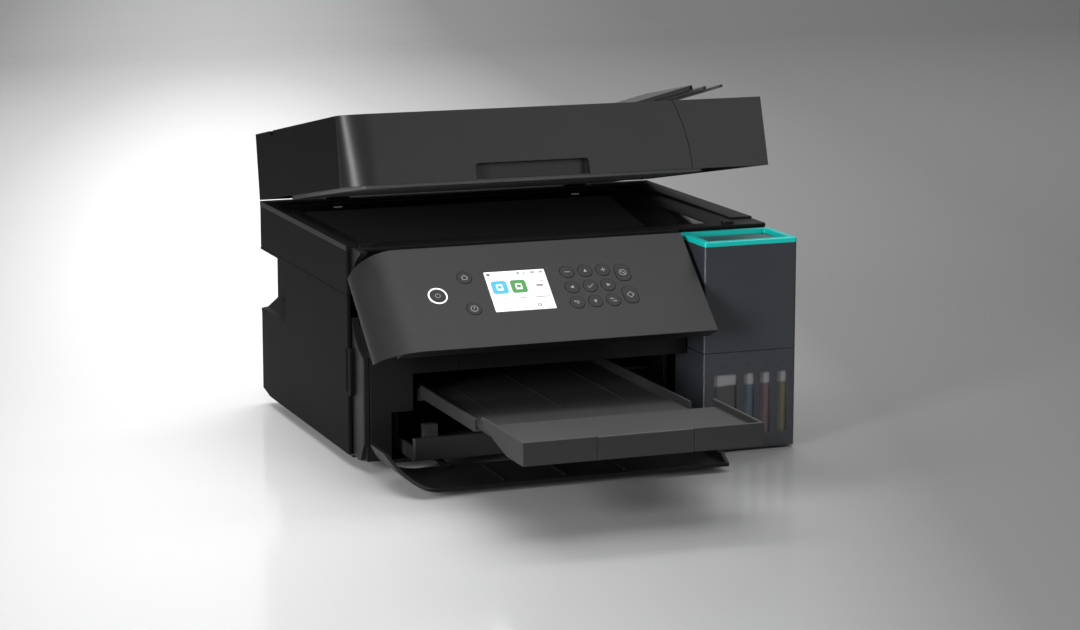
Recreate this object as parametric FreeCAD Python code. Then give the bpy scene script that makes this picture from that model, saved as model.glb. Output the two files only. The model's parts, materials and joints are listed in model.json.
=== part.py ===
import FreeCAD, Part
import math
import os

# Inkjet printer with refillable tanks, a flat-bed scanner and a document feeder.
# Millimetres. +X to the printer's right seen from the front, +Y to the rear, +Z up.
# Origin: on the resting plane of the feet, midway across the body and along its side covers.
# Every piece is drawn where it stands with the lid raised, the panel tilted and the trays out.

Vec = FreeCAD.Vector
X_AXIS = Vec(1, 0, 0)
Y_AXIS = Vec(0, 1, 0)
Z_AXIS = Vec(0, 0, 1)

# ---- driving dimensions -------------------------------------------------------------------
BODY_WIDTH = 375.0
SIDE_FRONT = -100.3          # front edge of the side covers
REAR = 164.3                 # rear face of the body
FACE = -164.0                # front face of tank unit and closed control panel
BODY_BOTTOM = 10.0
SEAM_Z = 143.5               # joint between lower case and scanner unit
SCANNER_TOP = 182.8
LID_BOTTOM = 185.1
LID_TOP = 244.0
LID_ANGLE = 10.2             # lid raised at rest
PANEL_TILT = 49.0            # panel tilted at rest
PANEL_SWEEP = 44.6           # radius the panel rounded end turns in
WALL = 2.5                   # moulded wall thickness
GAP = 0.6                    # visible gap between neighbouring covers
PIN_PLAY = 0.05              # radial running clearance of pins and shafts
CARRY_FRONT = 83.0           # hand recess at the rear of each side
CARRY_DEPTH = 15.3
CARRY_BOTTOM = 87.0
CARRY_TOP = 141.0
CARRY_ROUND = 9.0
PAPER_LEFT = -133.5
PAPER_WIDTH = 210.0          # A4

HALF = BODY_WIDTH / 2
TANK_LEFT = 103.0
FRONT_WALL = -131.0
RECESS_WALL = -108.0
LID_PIVOT = Vec(0, REAR, LID_BOTTOM)
SCANNER_PIVOT = Vec(0, REAR, SEAM_Z + GAP / 2)
SCANNER_HINGES = (-80.0, 60.0)   # left ends of the scanner unit's two hinge barrels
BARREL = 20.0
BARREL_RADIUS = 1.5
BARREL_PIN = 0.7
EAR_WIDTH = 4.0
EAR_PLAY = 0.3
PANEL_PIVOT = Vec(0, -143.4, 139.7)
DOOR_PIVOT = Vec(0, -160.5, 8.5)
TANK_PIVOT = Vec(0, -110.0, 172.3)
ADF_PIVOT = Vec(-181.4, 0, 242.8)
TRAY_PIVOT = Vec(94.0, 0, 242.0)
ADF_PIN = 0.6
RAIL_CENTRE = Vec(0, 40, 112)        # carriage rail
RAIL_RADIUS = 4.0
FEED_CENTRE = Vec(0, 62, 80)         # feed roller shaft
FEED_SHAFT = 4.0
BELT_Y = 60.5
BELT_Z = 118.0
BELT_WIDTH = 6.0
BELT_LEFT = -148.0                   # idler axis
BELT_RIGHT = 88.0                    # motor axis
BELT_INNER = 5.5
BELT_OUTER = 6.5
PULLEY_RADIUS = 5.4
MOTOR_SHAFT = 1.5
SCAN_RAIL_CENTRE = Vec(0, 30, 158)
SCAN_RAIL_RADIUS = 3.0
DOOR_BARREL = 3.2
DOOR_PIN = 1.6
DOOR_EARS = (-123.5, 66.0)           # left faces of the ears the door hangs on
LID_HINGES = (-115.0, 115.0)
LID_HINGE_PIN = 2.0
LID_HINGE_BARREL = 4.4
HINGE_NOTCHES = (-124.8, 105.2)      # left ends of the notches that clear the lid hinges
HINGE_NOTCH_WIDTH = 19.6
TANK_LUGS = (109.5, 177.5)
TANK_PIN = 1.8
FEEDER_SHAFT = Vec(-70, 0, 226)      # document feeder roller, lid closed


def at_x(x, centre):
    """The point of an X-wise axis at a given x."""
    return Vec(x, centre.y, centre.z)


# ---- shape helpers ------------------------------------------------------------------------
def box(x0, x1, y0, y1, z0, z1):
    return Part.makeBox(x1 - x0, y1 - y0, z1 - z0, Vec(x0, y0, z0))


def rod(radius, start, length, axis):
    return Part.makeCylinder(radius, length, start, axis)


def fused(shapes):
    shapes = list(shapes)
    return shapes[0].multiFuse(shapes[1:]).removeSplitter() if len(shapes) > 1 else shapes[0]


def polygon_prism(points, direction):
    wire = Part.makePolygon(points + [points[0]])
    return Part.Face(wire).extrude(direction)


def round_edges(shape, radius, keep):
    """Fillet the edges for which keep(middle point, edge) is true."""
    edges = [e for e in shape.Edges if keep(e.valueAt((e.FirstParameter + e.LastParameter) / 2), e)]
    return shape.makeFillet(radius, edges)


def along(edge, axis):
    """True when a straight edge runs along the axis."""
    if len(edge.Vertexes) != 2 or edge.Curve.TypeId != "Part::GeomLine":
        return False
    way = edge.Vertexes[1].Point.sub(edge.Vertexes[0].Point)
    return way.Length > 0 and abs(way.normalize().dot(axis)) > 0.999


def rounded_box(x0, x1, y0, y1, z0, z1, radius, axis=Z_AXIS):
    shape = box(x0, x1, y0, y1, z0, z1)
    return shape.makeFillet(radius, [e for e in shape.Edges if along(e, axis)])


def turned(shape, pivot, axis, degrees):
    copy = shape.copy()
    copy.rotate(pivot, axis, degrees)
    return copy


def raised(shape):
    """A lid piece drawn closed, turned up to the rest angle."""
    return turned(shape, LID_PIVOT, X_AXIS, -LID_ANGLE)


def tilted(shape):
    """A panel piece drawn closed, tilted to the rest angle."""
    return turned(shape, PANEL_PIVOT, X_AXIS, -PANEL_TILT)


# ---- lower case ---------------------------------------------------------------------------
def base_chassis():
    """Floor, two upright plates, paper platen, belt idler and the ears the door hangs on."""
    floor = box(-183, 183, -97, 160, 6.5, 9.5)
    tongue = box(-160, 99, -128, -97, 6.5, 9.5)
    plates = [box(-158, -155, -95, 120, 9.5, 138), box(96, 99, -95, 120, 9.5, 138)]
    cross = box(-155, 96, 116, 119, 48, 138)
    platen = box(-155, 96, 2, 44, 80, 83.5)
    ribs = [box(x, x + 1.6, 2, 44, 83.5, 85) for x in range(-130, 80, 16)]
    runners = [box(x, x + 6, -90, 115, 9.5, 12) for x in (-140, 78)]
    idler_arm = box(BELT_LEFT - 7, BELT_LEFT + 6, BELT_Y - 6.5, BELT_Y + 6.5, BELT_Z - 10, BELT_Z - 1)
    idler = rod(PULLEY_RADIUS, Vec(BELT_LEFT, BELT_Y, BELT_Z - 1), BELT_WIDTH + 1.5, Z_AXIS)
    ears = []
    for x in DOOR_EARS:
        ears.append(box(x, x + 4, DOOR_PIVOT.y, -127, 6.5, 9.5))
        ears.append(rod(DOOR_BARREL, at_x(x, DOOR_PIVOT), 4, X_AXIS))
    shape = fused([floor, tongue, cross, platen, idler_arm, idler] + plates + ribs + runners + ears)
    holes = [rod(DOOR_PIN + PIN_PLAY, at_x(-125, DOOR_PIVOT), 200, X_AXIS),
             rod(RAIL_RADIUS + PIN_PLAY, at_x(-160, RAIL_CENTRE), 262, X_AXIS),
             rod(FEED_SHAFT + PIN_PLAY, at_x(-160, FEED_CENTRE), 262, X_AXIS)]
    for hole in holes:
        shape = shape.cut(hole)
    return shape


def side_cover(side):
    """Side cover with its hand recess: side -1 is the left one, +1 the right one, its mirror image."""
    front = SIDE_FRONT
    skin = box(-HALF, -HALF + 3, front, REAR, BODY_BOTTOM, SEAM_Z - GAP / 2)
    skin = round_edges(skin, 1.2, lambda p, e: along(e, Z_AXIS) and p.x < -HALF + 1)
    back = -HALF + CARRY_DEPTH
    pocket = box(-HALF, back + WALL, CARRY_FRONT - WALL, REAR, CARRY_BOTTOM - WALL, SEAM_Z - GAP / 2)
    section = [Vec(-HALF - 1, CARRY_FRONT, CARRY_BOTTOM), Vec(-HALF + 6, CARRY_FRONT, CARRY_BOTTOM + 1),
               Vec(back, CARRY_FRONT, CARRY_BOTTOM + 9), Vec(back, CARRY_FRONT, CARRY_TOP),
               Vec(-HALF - 1, CARRY_FRONT, CARRY_TOP)]
    hollow = polygon_prism(section, Vec(0, REAR - CARRY_FRONT + 1, 0))
    corner_centre = Vec(-HALF - 1, CARRY_FRONT + CARRY_ROUND, CARRY_BOTTOM + CARRY_ROUND)
    corner = rod(CARRY_ROUND, corner_centre, 20, X_AXIS)
    block = box(-HALF - 1, back + 1, CARRY_FRONT, CARRY_FRONT + CARRY_ROUND, CARRY_BOTTOM - 1,
                CARRY_BOTTOM + CARRY_ROUND)
    hollow = hollow.cut(block.cut(corner))
    heel = polygon_prism([Vec(-HALF - 1, 120, BODY_BOTTOM - 1), Vec(-HALF - 1, REAR + 1, BODY_BOTTOM - 1),
                          Vec(-HALF - 1, REAR + 1, BODY_BOTTOM + 4.5), Vec(-HALF - 1, 140, BODY_BOTTOM)],
                         Vec(16, 0, 0))
    shape = skin.fuse(pocket).cut(hollow).cut(heel)
    lip = box(-HALF + 3, -HALF + 6, front + 2, CARRY_FRONT - WALL, SEAM_Z - 6, SEAM_Z - 3)
    shape = shape.fuse(lip)
    if side < 0:
        tab = rounded_box(-HALF, -HALF + 3, front - 7, front + 6, 60, 99.5, 3.4, X_AXIS)
        pill = rounded_box(-HALF - 0.8, -HALF + 1, front + 2.3, front + 9.8, 62, 98, 3.6, X_AXIS)
        return fused([shape, tab, pill])
    return shape.mirror(Vec(0, 0, 0), X_AXIS).removeSplitter()


def hinge_rod(radius, x, length):
    """Rod on the axis the scanner unit is lifted about."""
    return rod(radius, Vec(x, SCANNER_PIVOT.y, SCANNER_PIVOT.z), length, X_AXIS)


def rear_panel():
    """Rear wall with the duplex opening, sockets, vents and the pins the scanner unit hinges on."""
    inner = HALF - CARRY_DEPTH - WALL - 0.3
    low = HALF - 3.3
    panel = box(-inner, inner, REAR - WALL, REAR, BODY_BOTTOM + 5, SEAM_Z - GAP / 2)
    panel = panel.fuse(box(-low, low, REAR - WALL, REAR, BODY_BOTTOM + 5, CARRY_BOTTOM - WALL - 0.3))
    window = box(-118.5, 88.5, REAR - 5, REAR + 1, 31.5, 128.5)
    inlet = box(143.5, 170.5, REAR - 5, REAR + 1, 16.5, 39.5)
    port = box(118, 131, REAR - 5, REAR + 1, 20, 32)
    shape = panel.cut(window).cut(inlet).cut(port)
    for x in SCANNER_HINGES:
        shape = shape.cut(hinge_rod(2.0, x - EAR_PLAY, BARREL + 2 * EAR_PLAY))
        left = x - EAR_PLAY - EAR_WIDTH
        ears = [hinge_rod(BARREL_RADIUS, start, EAR_WIDTH) for start in (left, x + BARREL + EAR_PLAY)]
        pin = hinge_rod(BARREL_PIN, left, BARREL + 2 * (EAR_PLAY + EAR_WIDTH))
        shape = fused([shape, pin] + ears)
    for x in range(104, 168, 6):
        shape = shape.cut(box(x, x + 3, REAR - 5, REAR + 1, 90, 122))
    return shape


def duplex_cover():
    """Removable rear box that turns the sheet, with two blind grips."""
    block = round_edges(box(-118, 88, 152, 183.5, 32, 128), 9,
                        lambda p, e: p.y > 180 and (along(e, X_AXIS) or along(e, Z_AXIS)))
    hollow = box(-115, 85, 151, 180, 35, 125)
    shape = block.cut(hollow)
    for x in (-100, 60):
        shape = shape.cut(rounded_box(x, x + 14, 181.6, 185, 66, 94, 4, Y_AXIS))
    return shape


def rubber_feet():
    """Five tapered feet, one of them under the middle of the floor."""
    spots = [(-165, -80), (165, -80), (-165, 140), (165, 140), (0, 0)]
    return Part.makeCompound([Part.makeCone(8, 9, 6.4, Vec(x, y, 0), Z_AXIS) for x, y in spots])


def front_frame():
    """Left cheek, front wall round the paper mouth and the recess behind the panel."""
    cheek = round_edges(box(-184, -178, FRONT_WALL, SIDE_FRONT - 1, BODY_BOTTOM, 183), 1.4,
                        lambda p, e: along(e, Z_AXIS) and p.y < FRONT_WALL + 1)
    toe = polygon_prism([Vec(-185, FRONT_WALL - 1, 5), Vec(-185, FRONT_WALL + 12, 5),
                         Vec(-185, FRONT_WALL - 1, 26)], Vec(4, 0, 0))
    cheek = cheek.cut(toe)
    cheek = cheek.cut(rod(PANEL_SWEEP, Vec(-185, PANEL_PIVOT.y, PANEL_PIVOT.z), 8, X_AXIS))
    cheek = cheek.cut(box(-185, -177, FRONT_WALL - 1, -127, 137, 184))
    wall = box(-178, 101.5, FRONT_WALL, FRONT_WALL + 3, BODY_BOTTOM, 118)
    wall = wall.cut(box(-141.5, 102, FRONT_WALL - 1, FRONT_WALL + 4, 48, 80.8))
    wall = wall.cut(box(-160, 102, FRONT_WALL - 1, FRONT_WALL + 4, BODY_BOTTOM - 1, 49.7))
    wall = wall.cut(box(-101.6, -100.8, FRONT_WALL - 1, FRONT_WALL + 1, 80, 110))
    shelf = box(-178, 101.5, FRONT_WALL, RECESS_WALL + 3, 115, 118)
    recess = box(-178, 101.5, RECESS_WALL, RECESS_WALL + 3, 115, 183)
    flange = box(-178, 101.5, RECESS_WALL - 4, RECESS_WALL + 3, 180.5, 183)
    lining = box(-141.5, 99, FRONT_WALL + 3, -98, 80.8, 83)
    brace = box(-178, -175, FRONT_WALL + 3, RECESS_WALL + 3, BODY_BOTTOM, 115)
    arms = []
    for x in (-176.5, 98.4):
        arms.append(box(x, x + 3.2, PANEL_PIVOT.y, RECESS_WALL, 134, 145.4))
        arms.append(rod(5.7, at_x(x, PANEL_PIVOT), 3.2, X_AXIS))
    bridge = box(-178, -173.3, -133, RECESS_WALL, 134, 145.4)
    shape = fused([cheek, wall, shelf, recess, flange, lining, brace, bridge] + arms)
    return shape.cut(rod(3 + PIN_PLAY, at_x(-177.5, PANEL_PIVOT), 280, X_AXIS))


# ---- ink tank unit ------------------------------------------------------------------------
# left and right side of every tank, left and right edge of its window
TANKS = [(110.0, 136.5, 112.5, 133.9), (138.0, 152.0, 139.8, 150.0),
         (153.5, 167.0, 155.1, 164.8), (168.5, 182.0, 170.8, 180.1)]
TANK_SEAM = 85.3
WINDOW_BOTTOM = 14.0
WINDOW_TOP = 67.0
NECK_Y = -142.0


def neck_x(tank):
    """Where a tank's filler neck stands across the width."""
    return (tank[0] + tank[1]) / 2


def tank_housing():
    """Lower case of the tank unit with four windows and the lugs of its lid."""
    outer = round_edges(box(TANK_LEFT, HALF, FACE, -104.5, 2, TANK_SEAM), 2.2,
                        lambda p, e: along(e, Z_AXIS) and p.y < FACE + 1)
    inner = box(TANK_LEFT + WALL, HALF - WALL, FACE + WALL, -107, 2 + WALL, TANK_SEAM - WALL)
    shape = outer.cut(inner)
    for x0, x1, left, right in TANKS:
        window = rounded_box(left, right, FACE - 1, FACE + 3, WINDOW_BOTTOM, WINDOW_TOP, 1.2, Y_AXIS)
        shape = shape.cut(window)
    for tank in TANKS:
        shape = shape.cut(rod(6, Vec(neck_x(tank), NECK_Y, 80), 8, Z_AXIS))
    back = box(106.5, 184, -107, -104.5, 84, 168)
    lugs = []
    for x in TANK_LUGS:
        lugs.append(box(x, x + 4, TANK_PIVOT.y - 3, -104.5, 160, 166.5))
        lugs.append(box(x, x + 4, TANK_PIVOT.y - 3, TANK_PIVOT.y + 3, 166.5, TANK_PIVOT.z))
        lugs.append(rod(3.4, at_x(x, TANK_PIVOT), 4, X_AXIS))
    shape = fused([shape, back] + lugs)
    return shape.cut(rod(TANK_PIN + PIN_PLAY, at_x(108, TANK_PIVOT), 76, X_AXIS))


def ink_tanks():
    """Four hollow tanks, each with a filler neck."""
    tanks = []
    for tank in TANKS:
        body = rounded_box(tank[0], tank[1], -161.2, -109, 8, 79, 1.5)
        hollow = box(tank[0] + 1.5, tank[1] - 1.5, -159.7, -110.5, 9.5, 77.5)
        neck = rod(5.2, Vec(neck_x(tank), NECK_Y, 78), 12.5, Z_AXIS)
        bore = rod(3.6, Vec(neck_x(tank), NECK_Y, 76), 16, Z_AXIS)
        tanks.append(body.cut(hollow).fuse(neck).cut(bore).removeSplitter())
    return Part.makeCompound(tanks)


def tank_caps():
    """One plug for every filler neck."""
    caps = []
    for tank in TANKS:
        spot = Vec(neck_x(tank), NECK_Y, 90.8)
        head = round_edges(rod(6.6, spot, 7, Z_AXIS), 1.2, lambda p, e: p.z > 97)
        caps.append(head.fuse(rod(3.3, spot - Vec(0, 0, 6), 7, Z_AXIS)))
    return Part.makeCompound(caps)


def tank_cover():
    """Tall lid of the tank unit; it turns on two pins at the rear."""
    outer = round_edges(box(TANK_LEFT, HALF, FACE, -106, TANK_SEAM + GAP, 176), 2.2,
                        lambda p, e: along(e, Z_AXIS) and p.y < FACE + 1)
    inner = box(TANK_LEFT + WALL, HALF - WALL, FACE + WALL, -105, TANK_SEAM, 173.2)
    shape = outer.cut(inner)
    pins = [rod(TANK_PIN, at_x(TANK_LEFT + 2, TANK_PIVOT), 8.5, X_AXIS),
            rod(TANK_PIN, at_x(HALF - 10, TANK_PIVOT), 8.5, X_AXIS)]
    for x in TANK_LUGS:
        shape = shape.cut(box(x - 1, x + 5, -114.5, -105, 166, 176.2))
    return fused([shape] + pins)


def tank_trim():
    """Coloured frame round the top of the tank unit's lid."""
    ring = round_edges(box(TANK_LEFT, HALF, FACE, -106, 176, 180), 2.2, lambda p, e: along(e, Z_AXIS))
    ring = round_edges(ring, 0.8, lambda p, e: p.z > 179.9)
    hole = rounded_box(TANK_LEFT + 6, HALF - 6, FACE + 6, -112, 175, 181, 1.5)
    return ring.cut(hole)


# ---- printing mechanism -------------------------------------------------------------------
def carriage_rail():
    return rod(RAIL_RADIUS, at_x(-158, RAIL_CENTRE), 257, X_AXIS)


def print_carriage():
    """Carriage at the right of its travel, with the print head below and the belt clip behind."""
    body = rounded_box(20, 85, -8, 52, 96, 136, 4)
    head = box(28, 77, 4, 38, 87, 97)
    pocket = box(24, 81, -3, 30, 122, 137)
    clip = fused([box(45, 60, 50, 58, 124.4, 126.4), box(45, 60, 50, 58, 115.2, 117.2)])
    shape = fused([body, head]).cut(pocket).fuse(clip)
    return shape.cut(rod(RAIL_RADIUS + PIN_PLAY, at_x(10, RAIL_CENTRE), 90, X_AXIS))


def belt_loop(radius):
    """Solid stadium round the idler and the motor axis."""
    left = rod(radius, Vec(BELT_LEFT, BELT_Y, BELT_Z), BELT_WIDTH, Z_AXIS)
    right = rod(radius, Vec(BELT_RIGHT, BELT_Y, BELT_Z), BELT_WIDTH, Z_AXIS)
    run = box(BELT_LEFT, BELT_RIGHT, BELT_Y - radius, BELT_Y + radius, BELT_Z, BELT_Z + BELT_WIDTH)
    return fused([left, right, run])


def drive_belt():
    return belt_loop(BELT_OUTER).cut(belt_loop(BELT_INNER))


def drive_pulley():
    drum = rod(PULLEY_RADIUS, Vec(BELT_RIGHT, BELT_Y, BELT_Z - 0.6), BELT_WIDTH + 1.2, Z_AXIS)
    return drum.cut(rod(MOTOR_SHAFT + PIN_PLAY, Vec(BELT_RIGHT, BELT_Y, BELT_Z - 1), 9, Z_AXIS))


def carriage_motor():
    """Motor can above the pulley, with its shaft down through it."""
    can = round_edges(rod(7.5, Vec(BELT_RIGHT, BELT_Y, 126.5), 14, Z_AXIS), 1.5, lambda p, e: p.z > 140)
    shaft = rod(MOTOR_SHAFT, Vec(BELT_RIGHT, BELT_Y, 116.5), 11, Z_AXIS)
    return can.fuse(shaft)


GEAR_TEETH = 24
GEAR_ROOT = 14.0
GEAR_TIP = 16.2
GEAR_X = 100.0


def feed_roller():
    """Shaft with five rubber rollers and the toothed wheel that drives it."""
    shaft = rod(FEED_SHAFT, at_x(-157, FEED_CENTRE), 258, X_AXIS)
    rollers = [rod(8, at_x(x, FEED_CENTRE), 14, X_AXIS) for x in (-130, -84, -38, 8, 54)]
    wheel = rod(GEAR_ROOT, at_x(GEAR_X, FEED_CENTRE), 5, X_AXIS)
    tooth = box(GEAR_X, GEAR_X + 5, FEED_CENTRE.y - 1.1, FEED_CENTRE.y + 1.1,
                FEED_CENTRE.z + GEAR_ROOT - 2, FEED_CENTRE.z + GEAR_TIP)
    for index in range(GEAR_TEETH):
        wheel = wheel.fuse(turned(tooth, FEED_CENTRE, X_AXIS, index * 360 / GEAR_TEETH))
    return fused([shaft, wheel] + rollers)


def power_supply():
    return round_edges(box(108, 172, 20, 128, 12, 58), 3, lambda p, e: along(e, Z_AXIS))


def ac_inlet():
    """Two-pin mains inlet in the rear panel."""
    body = box(144, 170, 136, REAR, 17, 39)
    cup = rounded_box(148, 166, REAR - 14, REAR + 1, 22, 34, 5.9, Y_AXIS)
    pins = [rod(1.2, Vec(x, REAR - 14.5, 28), 10, Y_AXIS) for x in (152.7, 161.3)]
    return fused([body.cut(cup)] + pins)


# ---- paper cassette -----------------------------------------------------------------------
def paper_cassette():
    """Paper cassette: floor with guide slots, low front with a grip, tall rear."""
    floor = box(-148, 92, -150, 150, 12.6, 15)
    walls = []
    for x in (-148, 89.5):
        walls.append(box(x, x + WALL, -150, 150, 12.6, 24))
        walls.append(box(x, x + WALL, -104, 150, 24, 42))
    front = rounded_box(-148, 92, -152, -147, 12.6, 31, 2)
    rear = box(-148, 92, 147.5, 150, 12.6, 42)
    posts = [box(x, x + 12, -147, -140, 14, 41) for x in (-137.5, 70)]
    shape = fused([floor, front, rear] + posts + walls)
    shape = shape.cut(rounded_box(-60, 4, -153, -146, 20, 33, 4, Y_AXIS))
    for y in (-62.5, -22.5, 17.5):
        shape = shape.cut(box(-138, 81, y, y + 5, 12, 16))
    return shape


def cassette_guide(x, inward):
    """Side guide on the sheet's edge at x, its foot turned inward (+1 or -1)."""
    plate = rounded_box(x - 1.2, x + 1.2, -70, 30, 15.6, 40, 1.1)
    foot_a, foot_b = sorted((x, x + inward * 16))
    foot = box(foot_a, foot_b, -70, 30, 15.6, 17)
    stem = box(x - 2, x + 2, -21, -19, 12.8, 16)
    return fused([plate, foot, stem])


def cassette_end_guide():
    """Guide that touches the sheet's rear edge."""
    plate = box(-50, -8, 138, 141, 15.6, 38)
    foot = box(-46, -12, 118, 139, 15.6, 17.4)
    return fused([plate, foot])


# ---- output tray --------------------------------------------------------------------------
STOP_LEFT = -80.0
STOP_RIGHT = -1.5
STOP_PIVOT = Vec(0, -383.5, 62)
STOP_PIN = 0.9


def tray_channel(x0, x1, y0, y1, floor, top, thickness=2.0):
    """Flat tray stage with an upright rail along each side."""
    plate = box(x0, x1, y0, y1, floor, floor + thickness)
    rails = [box(x0, x0 + thickness, y0, y1, floor, top), box(x1 - thickness, x1, y0, y1, floor, top)]
    return fused([plate] + rails)


def output_tray_base():
    stage = tray_channel(-136, 53, -126, 108, 56.6, 67)
    ear = box(-155, 96, -60, -30, 54.4, 56.8)
    return stage.fuse(ear)


def output_tray_middle():
    stage = tray_channel(-133.5, 50.5, -260, -34, 59.2, 69.4)
    ribs = [box(x, x + 1.6, -240, -60, 61.2, 61.6) for x in (-100, -41.5, 17)]
    return fused([stage] + ribs)


def output_tray_front():
    """Last tray stage: deep box with sloping sides and a gap for the paper stop."""
    plate = box(-131, 48, -383, -226, 61.8, 64)
    ribs = [box(x, x + 1.6, -380, -300, 64, 70.6) for x in (-128, -60, 20, 45)]
    deck = rounded_box(-139.5, 56.5, -385, -300, 70.4, 73, 2)
    left = polygon_prism([Vec(-139.5, -385, 60), Vec(-139.5, -385, 78), Vec(-139.5, -292, 78),
                          Vec(-139.5, -292, 76), Vec(-139.5, -322, 66), Vec(-139.5, -350, 60)], Vec(2.5, 0, 0))
    right = left.copy()
    right.translate(Vec(193.5, 0, 0))
    front = round_edges(box(-139.5, 56.5, -385, -382, 60, 78), 1.2,
                        lambda p, e: along(e, Z_AXIS) and p.y < -384)
    shape = fused([plate, deck, left, right, front] + ribs)
    shape = shape.cut(box(STOP_LEFT - 0.5, STOP_RIGHT + 0.5, -386, -378.6, 59, 79))
    bore_length = STOP_RIGHT - STOP_LEFT + 4.2
    return shape.cut(rod(STOP_PIN + PIN_PLAY, at_x(STOP_LEFT - 2.1, STOP_PIVOT), bore_length, X_AXIS))


def paper_stop():
    flap = round_edges(box(STOP_LEFT, STOP_RIGHT, -385, -382, 60, 78), 1.0,
                       lambda p, e: along(e, X_AXIS) and p.z > 77)
    pins = [rod(STOP_PIN, at_x(STOP_LEFT - 1.8, STOP_PIVOT), 2.2, X_AXIS),
            rod(STOP_PIN, at_x(STOP_RIGHT - 0.4, STOP_PIVOT), 2.2, X_AXIS)]
    return fused([flap] + pins)


# ---- front door ---------------------------------------------------------------------------
DOOR_RADIUS = 37.0
DOOR_FRONT = -229.0
DOOR_BOTTOM = 5.0


def door_section(inset, bend):
    """Profile of the door in X and Z: flat from the right, then bent up at the left."""
    low = DOOR_BOTTOM + inset
    centre = Vec(bend, 0, DOOR_BOTTOM + DOOR_RADIUS)
    radius = DOOR_RADIUS - inset
    cos45 = math.sqrt(0.5)
    start = Vec(bend, 0, low)
    middle = centre + Vec(-radius * cos45, 0, -radius * cos45)
    end = centre + Vec(-radius, 0, 0)
    edges = [Part.LineSegment(Vec(98 - inset, 0, low), start).toShape(),
             Part.Arc(start, middle, end).toShape(),
             Part.LineSegment(end, Vec(end.x, 0, 60)).toShape(),
             Part.LineSegment(Vec(end.x, 0, 60), Vec(98 - inset, 0, 60)).toShape(),
             Part.LineSegment(Vec(98 - inset, 0, 60), Vec(98 - inset, 0, low)).toShape()]
    return Part.Face(Part.Wire(edges))


def front_door():
    """Fold-down door, drawn open and flat, with knuckles on two hinge pins."""
    bend = -HALF + DOOR_RADIUS
    length = Vec(0, 74, 0)
    outer = door_section(0, bend).extrude(length)
    inner = door_section(3, bend).extrude(length + Vec(0, 2, 0))
    inner.translate(Vec(0, -1, 0))
    shell = outer.cut(inner)
    shell.translate(Vec(0, DOOR_FRONT, 0))
    keep = fused([box(-190, 60, DOOR_FRONT - 1, -154, 0, 30.5), box(59, 99, DOOR_FRONT - 1, -154, 0, 14)])
    shell = shell.common(keep)
    slant = polygon_prism([Vec(-190, DOOR_FRONT - 2, 8.2), Vec(-190, DOOR_FRONT, 8.2),
                           Vec(-190, -191, 31), Vec(-190, DOOR_FRONT - 2, 31)], Vec(290, 0, 0))
    shell = shell.cut(slant)
    hinge_room = box(-150, 97, -157, -153, 0, 20)
    shell = shell.cut(hinge_room)
    knuckles = []
    for x in (-130.0, 59.5):
        knuckles.append(rod(DOOR_BARREL, at_x(x, DOOR_PIVOT), 6, X_AXIS))
        knuckles.append(box(x, x + 6, -168, DOOR_PIVOT.y, DOOR_BOTTOM + 1, 9))
        knuckles.append(rod(DOOR_PIN, at_x(x, DOOR_PIVOT), 10.4, X_AXIS))
        shell = shell.cut(box(x + 6, x + 11, -165.5, -150, 0, 20))
    ribs = [box(x, x + 1.6, -222, -170, 7.5, 10) for x in (-96, -44, 8)]
    return fused([shell] + knuckles + ribs)


# ---- control panel ------------------------------------------------------------------------
PANEL_TOP = 182.0
PANEL_BOTTOM = 77.0
PANEL_RIGHT = 98.0
PANEL_RADIUS = 34.0
PANEL_BACK = -146.0
SCREEN = (-86.4, -33.1, 110.9, 153.3)    # left, right, bottom, top of the screen on the closed panel
PAD_COLUMNS = (-14.4, 1.4, 17.3)
PAD_ROWS = (147.7, 131.6, 115.6)
KEY_RADIUS = 6.2
POWER_KEY_RADIUS = 6.6
LONG_KEY_HALF_WIDTH = 6.4
LONG_KEY_HALF_HEIGHT = 8.8
LONG_KEY_CORNER = 5.2
KEY_PLAY = 0.25              # gap round every key
KEY_PROUD = 0.35             # keys stand this far out of the panel
KEY_DEPTH = 3.2
COLLAR = 1.2                 # hidden collar that keeps a key behind the panel
STEM_LENGTH = 11.0


def panel_outline(inset):
    """Plan of the panel front: straight face, round left end that runs back along the side."""
    centre = Vec(-HALF + PANEL_RADIUS, FACE + PANEL_RADIUS, 0)
    radius = PANEL_RADIUS - inset
    cos45 = math.sqrt(0.5)
    start = centre + Vec(0, -radius, 0)
    middle = centre + Vec(-radius * cos45, -radius * cos45, 0)
    end = centre + Vec(-radius, 0, 0)
    right = PANEL_RIGHT - inset
    edges = [Part.LineSegment(Vec(right, start.y, 0), start).toShape(),
             Part.Arc(start, middle, end).toShape(),
             Part.LineSegment(end, Vec(right, end.y, 0)).toShape(),
             Part.LineSegment(Vec(right, end.y, 0), Vec(right, start.y, 0)).toShape()]
    return Part.Face(Part.Wire(edges))


def key_plan():
    """Name, x, z, radius of every round key on the closed panel's face."""
    keys = [("power_key", -130.3, 131.7, POWER_KEY_RADIUS), ("home_key", -103.3, 148.6, KEY_RADIUS),
            ("help_key", -103.3, 116.1, KEY_RADIUS)]
    number = 1
    for z in PAD_ROWS:
        for x in PAD_COLUMNS:
            keys.append((f"pad_key_{number}", x, z, KEY_RADIUS))
            number += 1
    return keys


def long_key_plan():
    """Name, x, z of the two long keys right of the pad."""
    return [("stop_key", 33.5, 143.5), ("start_key", 33.5, 119.8)]


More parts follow.
